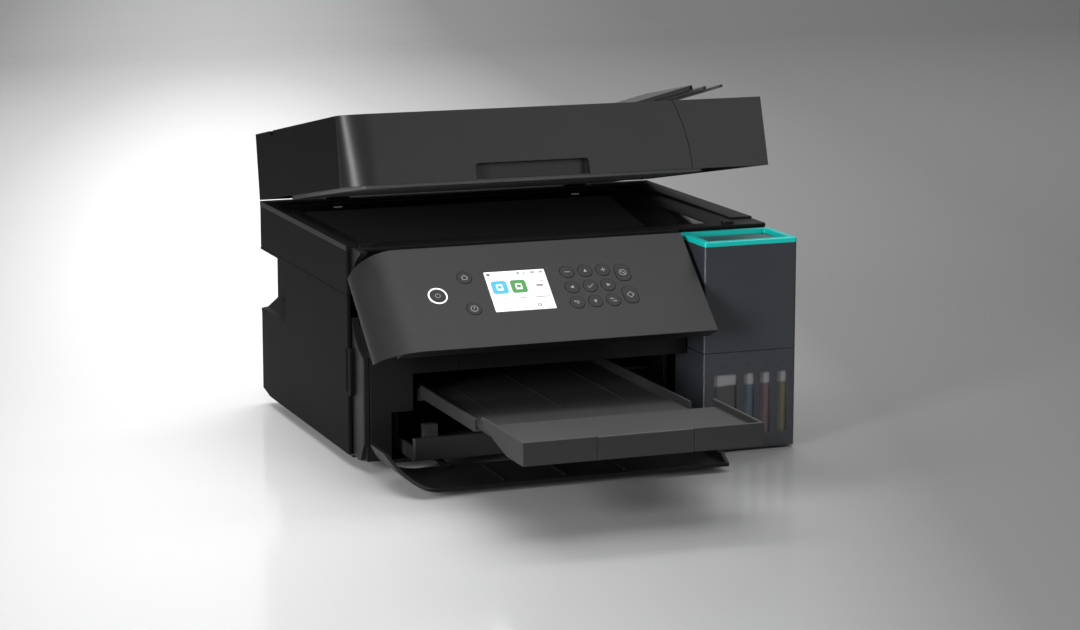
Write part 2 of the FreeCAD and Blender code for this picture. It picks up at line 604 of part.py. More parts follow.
def control_panel():
    """Hollow panel: thin skin round the left end, box section behind keys and screen, two pivot pins."""
    height = Vec(0, 0, PANEL_TOP - PANEL_BOTTOM)
    outer = panel_outline(0).extrude(height)
    outer.translate(Vec(0, 0, PANEL_BOTTOM))
    inner = panel_outline(WALL).extrude(height + Vec(0, 0, 4))
    inner.translate(Vec(0, 0, PANEL_BOTTOM - 2))
    skin = outer.cut(inner).cut(box(-184.8, 99, FACE + PANEL_RADIUS - 4, -120, 70, 190))
    skin = skin.cut(box(94, 99, PANEL_BACK, -120, 70, 190))
    solid = outer.common(box(-172, PANEL_RIGHT, FACE - 1, PANEL_BACK, 70, 190))
    hollow = inner.common(box(-169.5, PANEL_RIGHT - WALL, FACE, PANEL_BACK - WALL,
                              PANEL_BOTTOM + 12, PANEL_TOP - WALL))
    shape = skin.fuse(solid.cut(hollow))
    slope = polygon_prism([Vec(-190, FACE - 1, 76.5), Vec(-190, FACE + 34.5, 93), Vec(-190, -120, 93),
                           Vec(-190, -120, 60), Vec(-190, FACE - 1, 60)], Vec(300, 0, 0))
    shape = shape.cut(slope)
    for _, x, z, radius in key_plan():
        shape = shape.cut(rod(radius + KEY_PLAY, Vec(x, FACE - 1, z), 4, Y_AXIS))
    for _, x, z in long_key_plan():
        shape = shape.cut(long_key_block(x, z, KEY_PLAY, FACE - 1, FACE + 3))
    x0, x1, z0, z1 = SCREEN
    shape = shape.cut(rounded_box(x0 - 0.2, x1 + 0.2, FACE - 1, FACE + 4, z0 - 0.2, z1 + 0.2, 1.0, Y_AXIS))
    pins = [rod(3, at_x(-176.4, PANEL_PIVOT), 5.5, X_AXIS),
            rod(3, at_x(PANEL_RIGHT - 2, PANEL_PIVOT), 5.4, X_AXIS)]
    bosses = [rod(5.5, at_x(-172, PANEL_PIVOT), 4, X_AXIS),
              rod(5.5, at_x(PANEL_RIGHT - 3, PANEL_PIVOT), 3, X_AXIS)]
    return fused([shape] + bosses + pins)


def panel_screen():
    """Screen glass set just below the panel's face, on its module."""
    x0, x1, z0, z1 = SCREEN
    glass = rounded_box(x0, x1, FACE + 0.15, FACE + 3, z0, z1, 0.8, Y_AXIS)
    module = box(x0 - 4, x1 + 4, FACE + WALL + 0.2, FACE + 8, z0 - 4, z1 + 4)
    return glass.fuse(module).removeSplitter()


def key_stem(x, z):
    return rod(2, Vec(x, FACE + 3, z), STEM_LENGTH, Y_AXIS)


def round_key(x, z, radius):
    """Round cap with a collar behind the panel and a stem down to its switch."""
    cap = rod(radius, Vec(x, FACE - KEY_PROUD, z), KEY_DEPTH, Y_AXIS)
    cap = round_edges(cap, 0.3, lambda p, e: p.y < FACE)
    collar = rod(radius + COLLAR, Vec(x, FACE + WALL + 0.2, z), COLLAR, Y_AXIS)
    return fused([cap, collar, key_stem(x, z)])


def long_key_block(x, z, grow, y0, y1):
    """Upright block with the plan of a long key, grown all round."""
    half_width = LONG_KEY_HALF_WIDTH + grow
    half_height = LONG_KEY_HALF_HEIGHT + grow
    return rounded_box(x - half_width, x + half_width, y0, y1, z - half_height, z + half_height,
                       LONG_KEY_CORNER + grow, Y_AXIS)


def long_key(x, z):
    """Long cap with the same collar and stem as a round key."""
    cap = long_key_block(x, z, 0, FACE - KEY_PROUD, FACE - KEY_PROUD + KEY_DEPTH)
    cap = round_edges(cap, 0.3, lambda p, e: p.y < FACE - KEY_PROUD + 0.01)
    collar_front = FACE + WALL + 0.2
    collar = long_key_block(x, z, COLLAR / 2, collar_front, collar_front + COLLAR)
    return fused([cap, collar, key_stem(x, z)])


# ---- scanner unit -------------------------------------------------------------------------
GLASS = (-168.0, 140.0, -84.0, 138.0)    # left, right, front, rear of the glass bed


def scanner_plan(z0, z1):
    """Outline of the scanner: full width, with the front set forward between cheek and tank."""
    step = box(-177, 101, -104.4, SIDE_FRONT, z0, z1)
    return box(-HALF, HALF, SIDE_FRONT, REAR, z0, z1).fuse(step).removeSplitter()


def scanner_housing():
    """Hollow scanner body with the rail of the scan bar and its own hinge barrels."""
    outer = round_edges(scanner_plan(SEAM_Z + GAP / 2, 180), 1.2,
                        lambda p, e: along(e, Z_AXIS) and abs(p.x) > HALF - 1)
    inner = box(-HALF + 3, HALF - 3, SIDE_FRONT + 3, REAR - 3, 146.4, 177.6)
    mouth = box(GLASS[0] + 4, GLASS[1] - 4, GLASS[2] + 4, GLASS[3] - 4, 177, 181)
    shape = outer.cut(inner).cut(mouth)
    rail = rod(SCAN_RAIL_RADIUS, at_x(-180, SCAN_RAIL_CENTRE), 340, X_AXIS)
    blocks = [box(-184, -177, 24, 36, 146, 164), box(160, 167, 24, 36, 146, 164)]
    for x in HINGE_NOTCHES:
        shape = shape.cut(box(x, x + HINGE_NOTCH_WIDTH, REAR - 6.5, REAR + 1, 176, 181))
    for x in SCANNER_HINGES:
        ear_room = EAR_WIDTH + 2 * EAR_PLAY
        shape = shape.cut(hinge_rod(1.8, x - ear_room, ear_room)).cut(hinge_rod(1.8, x + BARREL, ear_room))
        shape = shape.fuse(hinge_rod(BARREL_RADIUS, x, BARREL))
        shape = shape.cut(hinge_rod(BARREL_PIN + PIN_PLAY, x - 1, BARREL + 2))
    return fused([shape, rail] + blocks)


def scanner_top_frame():
    """Frame round the glass, with low ridges at left, right and rear and two lid stops."""
    plate = round_edges(scanner_plan(180.2, SCANNER_TOP), 0.8,
                        lambda p, e: along(e, X_AXIS) and p.z > SCANNER_TOP - 0.1 and p.y < 0)
    plate = plate.cut(rounded_box(*GLASS, 179, 184, 1))
    ridge_r = round_edges(box(167, HALF, -72, REAR, 182.6, 184.4), 1.4, lambda p, e: p.z > 184 and p.x < 170)
    ridge_l = box(-HALF, -178, SIDE_FRONT, REAR, 182.6, 184.4)
    ridge_b = box(-HALF, HALF, 150, REAR, 182.6, 184.4)
    shape = fused([plate, ridge_r, ridge_l, ridge_b])
    for x in HINGE_NOTCHES:
        shape = shape.cut(box(x, x + HINGE_NOTCH_WIDTH, REAR - 6.5, REAR + 1, 179, 186))
    stops = [rounded_box(-177.4, -164, -103, -96, 182.5, 184.9, 1.5),
             rounded_box(150, 160, -96, -90, 182.5, 184.9, 1.5)]
    return fused([shape] + stops)


def scanner_glass():
    x0, x1, y0, y1 = GLASS
    return box(x0 + 0.3, x1 - 0.3, y0 + 0.3, y1 - 0.3, 180.2, 182.4)


def scan_bar():
    """Scan bar at the left of its travel, on a saddle that slides along the rail."""
    bar = box(-158, -144, -82, 136, 164, 177)
    lens = box(-155, -147, -78, 132, 176.5, 177.3)
    saddle = box(-160, -142, 22, 38, 151, 165)
    bore = rod(SCAN_RAIL_RADIUS + PIN_PLAY, at_x(-170, SCAN_RAIL_CENTRE), 40, X_AXIS)
    return fused([bar, lens, saddle]).cut(bore)


def lid_hinges():
    """Two posts behind the scanner that carry the lid's pins."""
    hinges = []
    for x in LID_HINGES:
        barrel = rod(LID_HINGE_BARREL, at_x(x - 4, LID_PIVOT), 8, X_AXIS)
        post = box(x - 4, x + 4, REAR + 0.2, REAR + 3.6, 150, LID_BOTTOM)
        foot = box(x - 9, x + 9, REAR + 0.2, REAR + 3, 150, 168)
        pin = rod(LID_HINGE_PIN, at_x(x - 9, LID_PIVOT), 18, X_AXIS)
        hinges.append(fused([barrel, post, foot, pin]))
    return Part.makeCompound(hinges)


# ---- lid with document feeder, drawn closed -----------------------------------------------
LID_FRONT = -109.0
LID_LEAN = 8.4               # how far the front leans back over the lid's height
LID_SIDE_SEAM = -88.5
CORNER_LENGTH = 27.0
BED_Z = 237.0
COVER_RIGHT = -40.0


def lid_wire(z, front, inset):
    """Lid outline at height z: square rear, sharp right front, long elliptic left front corner."""
    left = -HALF + inset
    right = HALF - inset
    rear = REAR - inset
    depth = LID_SIDE_SEAM - front
    ellipse = Part.Ellipse(Vec(left + CORNER_LENGTH, LID_SIDE_SEAM, z), CORNER_LENGTH, depth)
    corner = Part.ArcOfEllipse(ellipse, math.pi, 1.5 * math.pi).toShape()
    points = [Vec(left + CORNER_LENGTH, front, z), Vec(right, front, z), Vec(right, rear, z), Vec(left, rear, z),
              Vec(left, LID_SIDE_SEAM, z)]
    edges = [Part.LineSegment(a, b).toShape() for a, b in zip(points, points[1:])]
    return Part.Wire(Part.__sortEdges__([corner] + edges))


def lid_block(inset, z0, z1):
    """Lid body between two heights with its front leaning back in proportion."""
    def front_at(z):
        return LID_FRONT + inset + LID_LEAN * (z - LID_BOTTOM) / (LID_TOP - LID_BOTTOM)
    return Part.makeLoft([lid_wire(z0, front_at(z0), inset), lid_wire(z1, front_at(z1), inset)], True, True)


def lid_shell():
    return lid_block(0, LID_BOTTOM, LID_TOP).cut(lid_block(WALL, LID_BOTTOM - 1, LID_TOP - WALL))


def right_of_seam(offset):
    """Space to the right of the curved seam on the lid's front."""
    foot = Vec(117 + offset, -120, 180)
    belly = Vec(114.8 + offset, -120, 215)
    head = Vec(104.6 + offset, -120, 247)
    edges = [Part.Arc(foot, belly, head).toShape(),
             Part.LineSegment(head, Vec(200, -120, 247)).toShape(),
             Part.LineSegment(Vec(200, -120, 247), Vec(200, -120, 180)).toShape(),
             Part.LineSegment(Vec(200, -120, 180), foot).toShape()]
    return Part.Face(Part.Wire(edges)).extrude(Vec(0, 300, 0))


def adf_pin_bore():
    """Bore for the pin the feeder's top cover turns on."""
    start = Vec(ADF_PIVOT.x, LID_SIDE_SEAM - 2, ADF_PIVOT.z)
    return rod(ADF_PIN + PIN_PLAY, start, REAR - LID_SIDE_SEAM + 0.8, Y_AXIS)


def lid_front_cover():
    """Front strip of the lid, with the hand grip at its lower edge."""
    strip = lid_shell().common(box(-190, 190, -120, LID_SIDE_SEAM - GAP / 2, 180, 250))
    strip = strip.cut(right_of_seam(-GAP / 2))
    recess = round_edges(box(-75.8, 24.6, -120, LID_FRONT + 11, 180, 199), 3,
                         lambda p, e: along(e, Y_AXIS) and p.z > 198)
    grip = box(-78.8, 27.6, LID_FRONT + 2, LID_FRONT + 13.5, 186, 202).cut(recess)
    grip = grip.common(lid_block(WALL / 2, LID_BOTTOM, LID_TOP))
    return raised(fused([strip.cut(recess), grip]).cut(adf_pin_bore()))


def lid_base():
    """Lower plate and left walls of the lid, with the knuckles of the lid hinges."""
    plate = box(-184.6, 184.6, -95, 161.4, 189.3, 191.6).common(lid_block(WALL + 0.3, LID_BOTTOM, LID_TOP))
    walls = lid_shell().common(box(-190, COVER_RIGHT, LID_SIDE_SEAM + GAP / 2, 170, 180, 250))
    walls = walls.cut(box(-184, 0, LID_SIDE_SEAM - 1, 161, 235, 250))
    notch = rounded_box(-190, -183, 106, 118, 239, 250, 2, X_AXIS)
    rear = box(COVER_RIGHT, 184, REAR - WALL, REAR, LID_BOTTOM, 233.5)
    ribs = [box(-90, -50, y, y + 4, 191, 236) for y in (-66, 122)]
    shape = fused([plate, walls.cut(notch), rear] + ribs)
    for x in LID_HINGES:
        shape = shape.cut(box(x - 10, x + 10, REAR - 5.4, REAR + 1, 184, 190.4))
        for side in (-9.6, 4.6):
            knuckle = rod(LID_HINGE_BARREL, at_x(x + side, LID_PIVOT), 5, X_AXIS)
            arm = box(x + side, x + side + 5, REAR - LID_HINGE_BARREL, REAR, LID_BOTTOM, 191)
            shape = fused([shape, knuckle, arm])
    shape = shape.cut(rod(LID_HINGE_PIN + PIN_PLAY, at_x(-130, LID_PIVOT), 260, X_AXIS))
    shape = shape.cut(rod(4 + PIN_PLAY, FEEDER_SHAFT + Vec(0, -70, 0), 200, Y_AXIS))
    return raised(shape.cut(adf_pin_bore()))


def lid_pad():
    return raised(rounded_box(-166, 138, -82, 136, 183.4, 189.2, 3))


def lid_right_cover():
    """Right part of the lid: curved front end, document bed and the well of the folding tray."""
    shell = lid_shell().common(right_of_seam(GAP / 2))
    shell = shell.cut(box(90, HALF - WALL, LID_SIDE_SEAM, 170, 236, 250)).cut(box(90, 184.8, 160, 170, 180, 234))
    bed = box(COVER_RIGHT + 0.6, HALF - 1, LID_SIDE_SEAM + GAP / 2, REAR - 0.4, BED_Z - WALL, BED_Z)
    rims = [box(COVER_RIGHT + 0.6, HALF - 1, 160.4, REAR, BED_Z - 1, LID_TOP),
            box(COVER_RIGHT + 0.6, 110, LID_SIDE_SEAM + GAP / 2, -85.4, BED_Z - 1, LID_TOP),
            box(109, HALF - 1, LID_SIDE_SEAM - 4, -85.4, BED_Z - 1, LID_TOP)]
    shelf = box(142, HALF - 1, -86, 161, BED_Z - 1, LID_TOP)
    shape = fused([shell, bed, shelf] + rims)
    pocket = box(85, 144, -50, 68, 227, 250)
    shape = shape.cut(pocket)
    well = box(82.5, 146.5, -52.5, 70.5, 226, BED_Z).cut(box(85, 144, -50, 68, 228.5, 250))
    lugs = []
    for y in (-49.8, 64.8):
        lugs.append(box(88, 98, y, y + 3, 228, TRAY_PIVOT.z))
        lugs.append(rod(3, Vec(TRAY_PIVOT.x, y, TRAY_PIVOT.z), 3, Y_AXIS))
    shape = fused([shape, well] + lugs)
    shape = shape.cut(rod(1.5 + PIN_PLAY, Vec(TRAY_PIVOT.x, -52, TRAY_PIVOT.z), 122, Y_AXIS))
    slot = rounded_box(170, 195, -60, 150, 199, 217, 3, X_AXIS)
    return raised(shape.cut(slot))


def adf_cover():
    """Top cover of the feeder; it lifts about a thin pin along its left edge."""
    panel = box(-183.4, COVER_RIGHT, LID_SIDE_SEAM + GAP, 160.4, 241.6, LID_TOP)
    panel = round_edges(panel, 0.8, lambda p, e: p.z > LID_TOP - 0.1)
    ribs = [box(-170, -100, y, y + 2, 237.6, 242) for y in (-60, 0, 60, 120)]
    pin = rod(ADF_PIN, Vec(ADF_PIVOT.x, LID_SIDE_SEAM - 1.6, ADF_PIVOT.z), REAR - LID_SIDE_SEAM, Y_AXIS)
    return raised(fused([panel, pin] + ribs))


def adf_roller():
    shaft = rod(4, FEEDER_SHAFT + Vec(0, -66, 0), 192, Y_AXIS)
    rollers = [rod(9, FEEDER_SHAFT + Vec(0, y, 0), 34, Y_AXIS) for y in (-20, 40)]
    return raised(fused([shaft] + rollers))


def document_guide():
    """Sliding fence along the front edge of the documents."""
    foot = box(-36, 22, -78, -60, BED_Z + 0.4, BED_Z + 1.8)
    fence = round_edges(box(-36, 22, -78, -75.6, BED_Z + 0.4, 243.4), 2,
                        lambda p, e: along(e, Y_AXIS) and p.z > 243)
    return raised(foot.fuse(fence))


LEAF_TILT = 13.0


def leaf(front, rear, reach, top, thickness, start):
    """A feeder tray leaf lying under the tray plane, drawn flat from the tray pivot."""
    plate = box(TRAY_PIVOT.x + start, TRAY_PIVOT.x + reach, front, rear, TRAY_PIVOT.z + top - thickness,
                TRAY_PIVOT.z + top)
    plate = round_edges(plate, 6, lambda p, e: along(e, Z_AXIS) and p.x > TRAY_PIVOT.x + reach - 1)
    return plate


def set_leaf(shape):
    """A tray leaf drawn flat, tilted up and carried by the raised lid."""
    return raised(turned(shape, TRAY_PIVOT, Y_AXIS, -LEAF_TILT))


def document_tray():
    """First leaf of the folding document tray, with its pivot pin."""
    plate = leaf(-46, 64, 59, 4.6, 4.0, -3)
    barrel = rod(3, Vec(TRAY_PIVOT.x, -46, TRAY_PIVOT.z), 110, Y_AXIS)
    pin = rod(1.5, Vec(TRAY_PIVOT.x, -49.6, TRAY_PIVOT.z), 117.2, Y_AXIS)
    return set_leaf(fused([plate, barrel, pin]))


def document_leaf_middle():
    return set_leaf(leaf(-38, 56, 75, 0.2, 2.6, 24))


def document_leaf_end():
    return set_leaf(leaf(-30, 48, 94, -2.8, 2.4, 40))


# ---- write every node ---------------------------------------------------------------------
def all_nodes():
    nodes = {
        "base_chassis": base_chassis(), "left_side_cover": side_cover(-1), "right_side_cover": side_cover(1),
        "rear_panel": rear_panel(), "duplex_cover": duplex_cover(), "rubber_feet": rubber_feet(),
        "front_frame": front_frame(), "tank_housing": tank_housing(), "ink_tanks": ink_tanks(),
        "tank_caps": tank_caps(), "tank_cover": tank_cover(), "tank_trim": tank_trim(),
        "carriage_rail": carriage_rail(), "print_carriage": print_carriage(), "drive_belt": drive_belt(),
        "drive_pulley": drive_pulley(), "carriage_motor": carriage_motor(), "feed_roller": feed_roller(),
        "power_supply": power_supply(), "ac_inlet": ac_inlet(), "paper_cassette": paper_cassette(),
        "cassette_guide_left": cassette_guide(PAPER_LEFT - 1.6, 1),
        "cassette_guide_right": cassette_guide(PAPER_LEFT + PAPER_WIDTH + 1.6, -1),
        "cassette_end_guide": cassette_end_guide(),
        "output_tray_base": output_tray_base(), "output_tray_middle": output_tray_middle(),
        "output_tray_front": output_tray_front(), "paper_stop": paper_stop(), "front_door": front_door(),
        "control_panel": tilted(control_panel()), "panel_screen": tilted(panel_screen()),
        "scanner_housing": scanner_housing(), "scanner_top_frame": scanner_top_frame(),
        "scanner_glass": scanner_glass(), "scan_bar": scan_bar(), "lid_hinges": lid_hinges(),
        "lid_base": lid_base(), "lid_front_cover": lid_front_cover(), "lid_right_cover": lid_right_cover(),
        "lid_pad": lid_pad(), "adf_cover": adf_cover(), "adf_roller": adf_roller(),
        "document_guide": document_guide(), "document_tray": document_tray(),
        "document_leaf_middle": document_leaf_middle(), "document_leaf_end": document_leaf_end(),
    }
    for name, x, z, radius in key_plan():
        nodes[name] = tilted(round_key(x, z, radius))
    for name, x, z in long_key_plan():
        nodes[name] = tilted(long_key(x, z))
    return nodes


def main():
    os.makedirs("parts", exist_ok=True)
    for name, shape in all_nodes().items():
        if not shape.isValid() or shape.Volume <= 0:
            print("check", name, shape.isValid(), shape.Volume)
        shape.exportStep(f"parts/{name}.step")
        print(f"{name}: {len(shape.Solids)} solid(s), {shape.Volume / 1000:.1f} cm3")


main()
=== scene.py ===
"""Looks of a compact inkjet printer with refillable tanks, flat-bed scanner and document feeder.

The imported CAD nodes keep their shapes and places. This script gives them procedural finishes, adds
the small surface pieces (key signs, lit screen, marks above the tank windows) and sets up the studio.
"""

import json
import logging
import math
from dataclasses import dataclass
from enum import Enum
from typing import Sequence, Union

import bpy
import numpy as np
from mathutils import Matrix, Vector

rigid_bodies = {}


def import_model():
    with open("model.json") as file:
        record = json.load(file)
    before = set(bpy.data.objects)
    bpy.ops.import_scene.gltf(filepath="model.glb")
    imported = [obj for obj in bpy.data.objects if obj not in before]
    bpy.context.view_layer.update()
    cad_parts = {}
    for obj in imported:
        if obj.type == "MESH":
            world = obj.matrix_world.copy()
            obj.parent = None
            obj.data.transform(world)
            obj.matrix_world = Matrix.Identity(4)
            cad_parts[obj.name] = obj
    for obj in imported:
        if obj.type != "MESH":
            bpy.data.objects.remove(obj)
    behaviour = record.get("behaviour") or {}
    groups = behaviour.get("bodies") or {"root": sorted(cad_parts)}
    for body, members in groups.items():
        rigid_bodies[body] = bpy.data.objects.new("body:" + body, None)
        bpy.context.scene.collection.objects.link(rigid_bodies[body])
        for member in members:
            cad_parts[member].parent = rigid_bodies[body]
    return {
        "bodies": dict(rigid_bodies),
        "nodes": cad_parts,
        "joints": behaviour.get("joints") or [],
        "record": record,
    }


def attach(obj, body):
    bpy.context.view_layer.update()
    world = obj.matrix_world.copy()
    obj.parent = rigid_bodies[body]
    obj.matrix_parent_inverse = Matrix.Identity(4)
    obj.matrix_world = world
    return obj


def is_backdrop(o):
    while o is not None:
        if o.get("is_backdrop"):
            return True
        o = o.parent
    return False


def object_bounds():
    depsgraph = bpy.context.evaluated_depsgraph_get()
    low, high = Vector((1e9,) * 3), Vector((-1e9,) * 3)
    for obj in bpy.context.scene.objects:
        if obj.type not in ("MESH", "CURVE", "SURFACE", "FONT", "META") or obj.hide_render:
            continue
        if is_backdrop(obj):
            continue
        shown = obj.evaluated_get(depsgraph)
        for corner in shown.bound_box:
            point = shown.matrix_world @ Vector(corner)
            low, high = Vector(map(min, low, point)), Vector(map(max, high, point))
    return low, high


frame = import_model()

LOG = logging.getLogger("printer")
Point = tuple[float, float, float]
Colour = tuple[float, float, float]
Value = Union[float, Sequence[float], bpy.types.NodeSocket]
Shape = tuple[np.ndarray, list]
MIX_COLOUR_A, MIX_COLOUR_B, MIX_COLOUR_RESULT = 6, 7, 2  # colour sockets of a Mix node
SAME_SIZE = 1e-6  # metres within which two sizes count as equal
WHITE: Colour = (1.0, 1.0, 1.0)
BLACK: Colour = (0.0, 0.0, 0.0)
CAD_LOW, CAD_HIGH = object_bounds()


def scaled(colour: Colour, factor: float, plus: float = 0.0) -> Colour:
    """Colour with each share multiplied, raised and kept at 1 or less."""
    return tuple(min(1.0, share * factor + plus) for share in colour)


class Body(str, Enum):
    """Bodies of the record that new pieces ride on, besides the keys' own."""

    CASE = "body"
    PANEL = "panel"


class Slot(str, Enum):
    """Material slots of the record."""

    CASE = "case_plastic"
    # side_plastic: a darker copy of the case plastic, painted shade on the walls that face away from the
    # lights
    SHADED_SIDE = "side_plastic"
    FRAME = "frame_plastic"
    PANEL = "panel_plastic"
    TANK = "tank_plastic"
    GLOSS = "gloss_black"
    GLASS = "glass"
    TEAL = "teal_trim"
    INK = "ink_tank"
    CAP = "cap_rubber"
    FOOT = "foot_rubber"
    ROLLER = "roller_rubber"
    BELT = "belt_rubber"
    KEY = "key_plastic"
    POWER_KEY = "power_key_plastic"
    SCREEN = "screen"
    # the white pad, finished dark grey as painted shade
    PAD = "pad_white"
    MECHANISM = "mechanism_plastic"
    STEEL = "steel"
    SUPPLY = "supply_case"
    TRAY = "tray_plastic"


# ---------------------------------------------------------------------------- shader building

class Graph:
    """Thin wrapper that adds and links shader nodes in one node tree."""

    def __init__(self, tree: bpy.types.NodeTree) -> None:
        """Keep the tree to build in."""
        self.tree = tree

    def add(self, kind: str, settings: dict | None = None, **inputs: Value) -> bpy.types.Node:
        """Add a node.

        Args:
            kind: Blender node type name.
            settings: attributes set on the node itself.
            inputs: socket values or source sockets, keyed by socket name with spaces as "_".

        Returns:
            The new node.
        """
        node = self.tree.nodes.new(kind)
        for name, value in (settings or {}).items():
            setattr(node, name, value)
        for name, value in inputs.items():
            self.feed(node.inputs[name.replace("_", " ")], value)
        return node

    def feed(self, socket: bpy.types.NodeSocket, value: Value) -> None:
        """Set a socket's constant, or link a source socket to it.

        Args:
            socket: input to set.
            value: number, colour, vector or source socket.
        """
        if isinstance(value, bpy.types.NodeSocket):
            self.tree.links.new(value, socket)
        elif isinstance(value, tuple) and len(value) == 3 and socket.type == "RGBA":
            socket.default_value = (*value, 1.0)
        else:
            socket.default_value = value

    def math(self, operation: str, a: Value, b: Value = 0.0, clamp: bool = False) -> bpy.types.NodeSocket:
        """Add a math node.

        Args:
            operation: Blender's name of the operation.
            a: first number or source socket.
            b: second number or source socket.
            clamp: keep the result between 0 and 1.

        Returns:
            The node's output socket.
        """
        node = self.tree.nodes.new("ShaderNodeMath")
        node.operation = operation
        node.use_clamp = clamp
        self.feed(node.inputs[0], a)
        self.feed(node.inputs[1], b)
        return node.outputs[0]

    def blend(self, factor: Value, a: Value, b: Value, mode: str = "MIX") -> bpy.types.NodeSocket:
        """Blend two colours.

        Args:
            factor: share of the second colour.
            a: first colour or source socket.
            b: second colour or source socket.
            mode: Blender's name of the blend.

        Returns:
            The colour output socket.
        """
        node = self.tree.nodes.new("ShaderNodeMix")
        node.data_type = "RGBA"
        node.blend_type = mode
        self.feed(node.inputs["Factor"], factor)
        self.feed(node.inputs[MIX_COLOUR_A], a)
        self.feed(node.inputs[MIX_COLOUR_B], b)
        return node.outputs[MIX_COLOUR_RESULT]

    def ramp(self, value: Value, stops: Sequence[tuple[float, float]]) -> bpy.types.NodeSocket:
        """Add a grey colour ramp.

        Args:
            value: number or source socket that runs along the ramp.
            stops: (position, grey) of every stop.

        Returns:
            The colour output socket.
        """
        node = self.tree.nodes.new("ShaderNodeValToRGB")
        elements = node.color_ramp.elements
        while len(elements) < len(stops):
            elements.new(0.5)
        for element, (position, grey) in zip(elements, stops):
            element.position = position
            element.color = (grey, grey, grey, 1.0)
        self.feed(node.inputs[0], value)
        return node.outputs[0]


class SharedEffects:
    """Node groups used by every finish. They output only values and normals."""

    def __init__(self) -> None:
        """Build every group once."""
        self.grain = self._grain()
        self.edge_round_and_highlight = self._edge_round_and_highlight()
        self.dust = self._dust()

    @staticmethod
    def _group(name: str, inputs: Sequence[tuple[str, str, float]], outputs: Sequence[tuple[str, str]]
               ) -> tuple[bpy.types.NodeTree, Graph, bpy.types.Node, bpy.types.Node]:
        """Make an empty node group with the given sockets.

        Args:
            name: group name.
            inputs: (socket name, socket type, default) of every input.
            outputs: (socket name, socket type) of every output.

        Returns:
            The node tree, its Graph, the input node and the output node.
        """
        tree = bpy.data.node_groups.new(name, "ShaderNodeTree")
        for label, kind, default in inputs:
            socket = tree.interface.new_socket(name=label, in_out="INPUT", socket_type=kind)
            if kind == "NodeSocketFloat":
                socket.default_value = default
        for label, kind in outputs:
            tree.interface.new_socket(name=label, in_out="OUTPUT", socket_type=kind)
        graph = Graph(tree)
        return tree, graph, graph.add("NodeGroupInput"), graph.add("NodeGroupOutput")

    def _grain(self) -> bpy.types.NodeTree:
        """Moulded-in spark texture: two noises and small cells.

        Returns:
            Group with a grain height and a broad, slow variation.
        """
        tree, g, source, sink = self._group(
            "mould_grain",
            [("Vector", "NodeSocketVector", 0.0), ("Scale", "NodeSocketFloat", 900.0)],
            [("Height", "NodeSocketFloat"), ("Variation", "NodeSocketFloat")])
        fine = g.add("ShaderNodeTexNoise", Vector=source.outputs["Vector"], Scale=source.outputs["Scale"],
                     Detail=2.0, Roughness=0.6)
        cells = g.add("ShaderNodeTexVoronoi", Vector=source.outputs["Vector"],
                      Scale=g.math("MULTIPLY", source.outputs["Scale"], 1.7))
        broad = g.add("ShaderNodeTexNoise", Vector=source.outputs["Vector"], Scale=9.0, Detail=4.0,
                      Roughness=0.55)
        height = g.math("ADD", g.math("MULTIPLY", fine.outputs[0], 0.65),
                        g.math("MULTIPLY", cells.outputs["Distance"], 0.35))
        g.feed(sink.inputs["Height"], height)
        g.feed(sink.inputs["Variation"], broad.outputs[0])
        return tree

    def _edge_round_and_highlight(self) -> bpy.types.NodeTree:
        """Softened edges: rounded normal and a mask that is 1 where the rounding turns the normal; the
        finishes use the mask for a painted edge highlight.

        Returns:
            Group with the rounded normal and the mask.
        """
        tree, g, source, sink = self._group(
            "soft_edge", [("Radius", "NodeSocketFloat", 0.0006)],
            [("Normal", "NodeSocketVector"), ("Mask", "NodeSocketFloat")])
        bevel = g.add("ShaderNodeBevel", {"samples": 3}, Radius=source.outputs["Radius"])
        facing = g.add("ShaderNodeNewGeometry")
        dot = g.add("ShaderNodeVectorMath", {"operation": "DOT_PRODUCT"})
        g.feed(dot.inputs[0], bevel.outputs["Normal"])
        g.feed(dot.inputs[1], facing.outputs["Normal"])
        away = g.math("SUBTRACT", 1.0, dot.outputs["Value"], clamp=True)
        g.feed(sink.inputs["Normal"], bevel.outputs["Normal"])
        g.feed(sink.inputs["Mask"], g.math("MULTIPLY", away, 2.5, clamp=True))
        return tree

    def _dust(self) -> bpy.types.NodeTree:
        """Thin uneven film that settles on faces turned upwards.

        Returns:
            Group with the film's mask.
        """
        tree, g, source, sink = self._group(
            "dust_film", [("Vector", "NodeSocketVector", 0.0), ("Amount", "NodeSocketFloat", 0.04)],
            [("Mask", "NodeSocketFloat")])
        facing = g.add("ShaderNodeTexCoord")
        parts = g.add("ShaderNodeSeparateXYZ", Vector=facing.outputs["Normal"])
        up = g.math("MULTIPLY", g.math("MAXIMUM", parts.outputs["Z"], 0.0), source.outputs["Amount"])
        patches = g.add("ShaderNodeTexNoise", Vector=source.outputs["Vector"], Scale=35.0, Detail=6.0,
                        Roughness=0.7)
        g.feed(sink.inputs["Mask"], g.math("MULTIPLY", up, patches.outputs[0], clamp=True))
        return tree


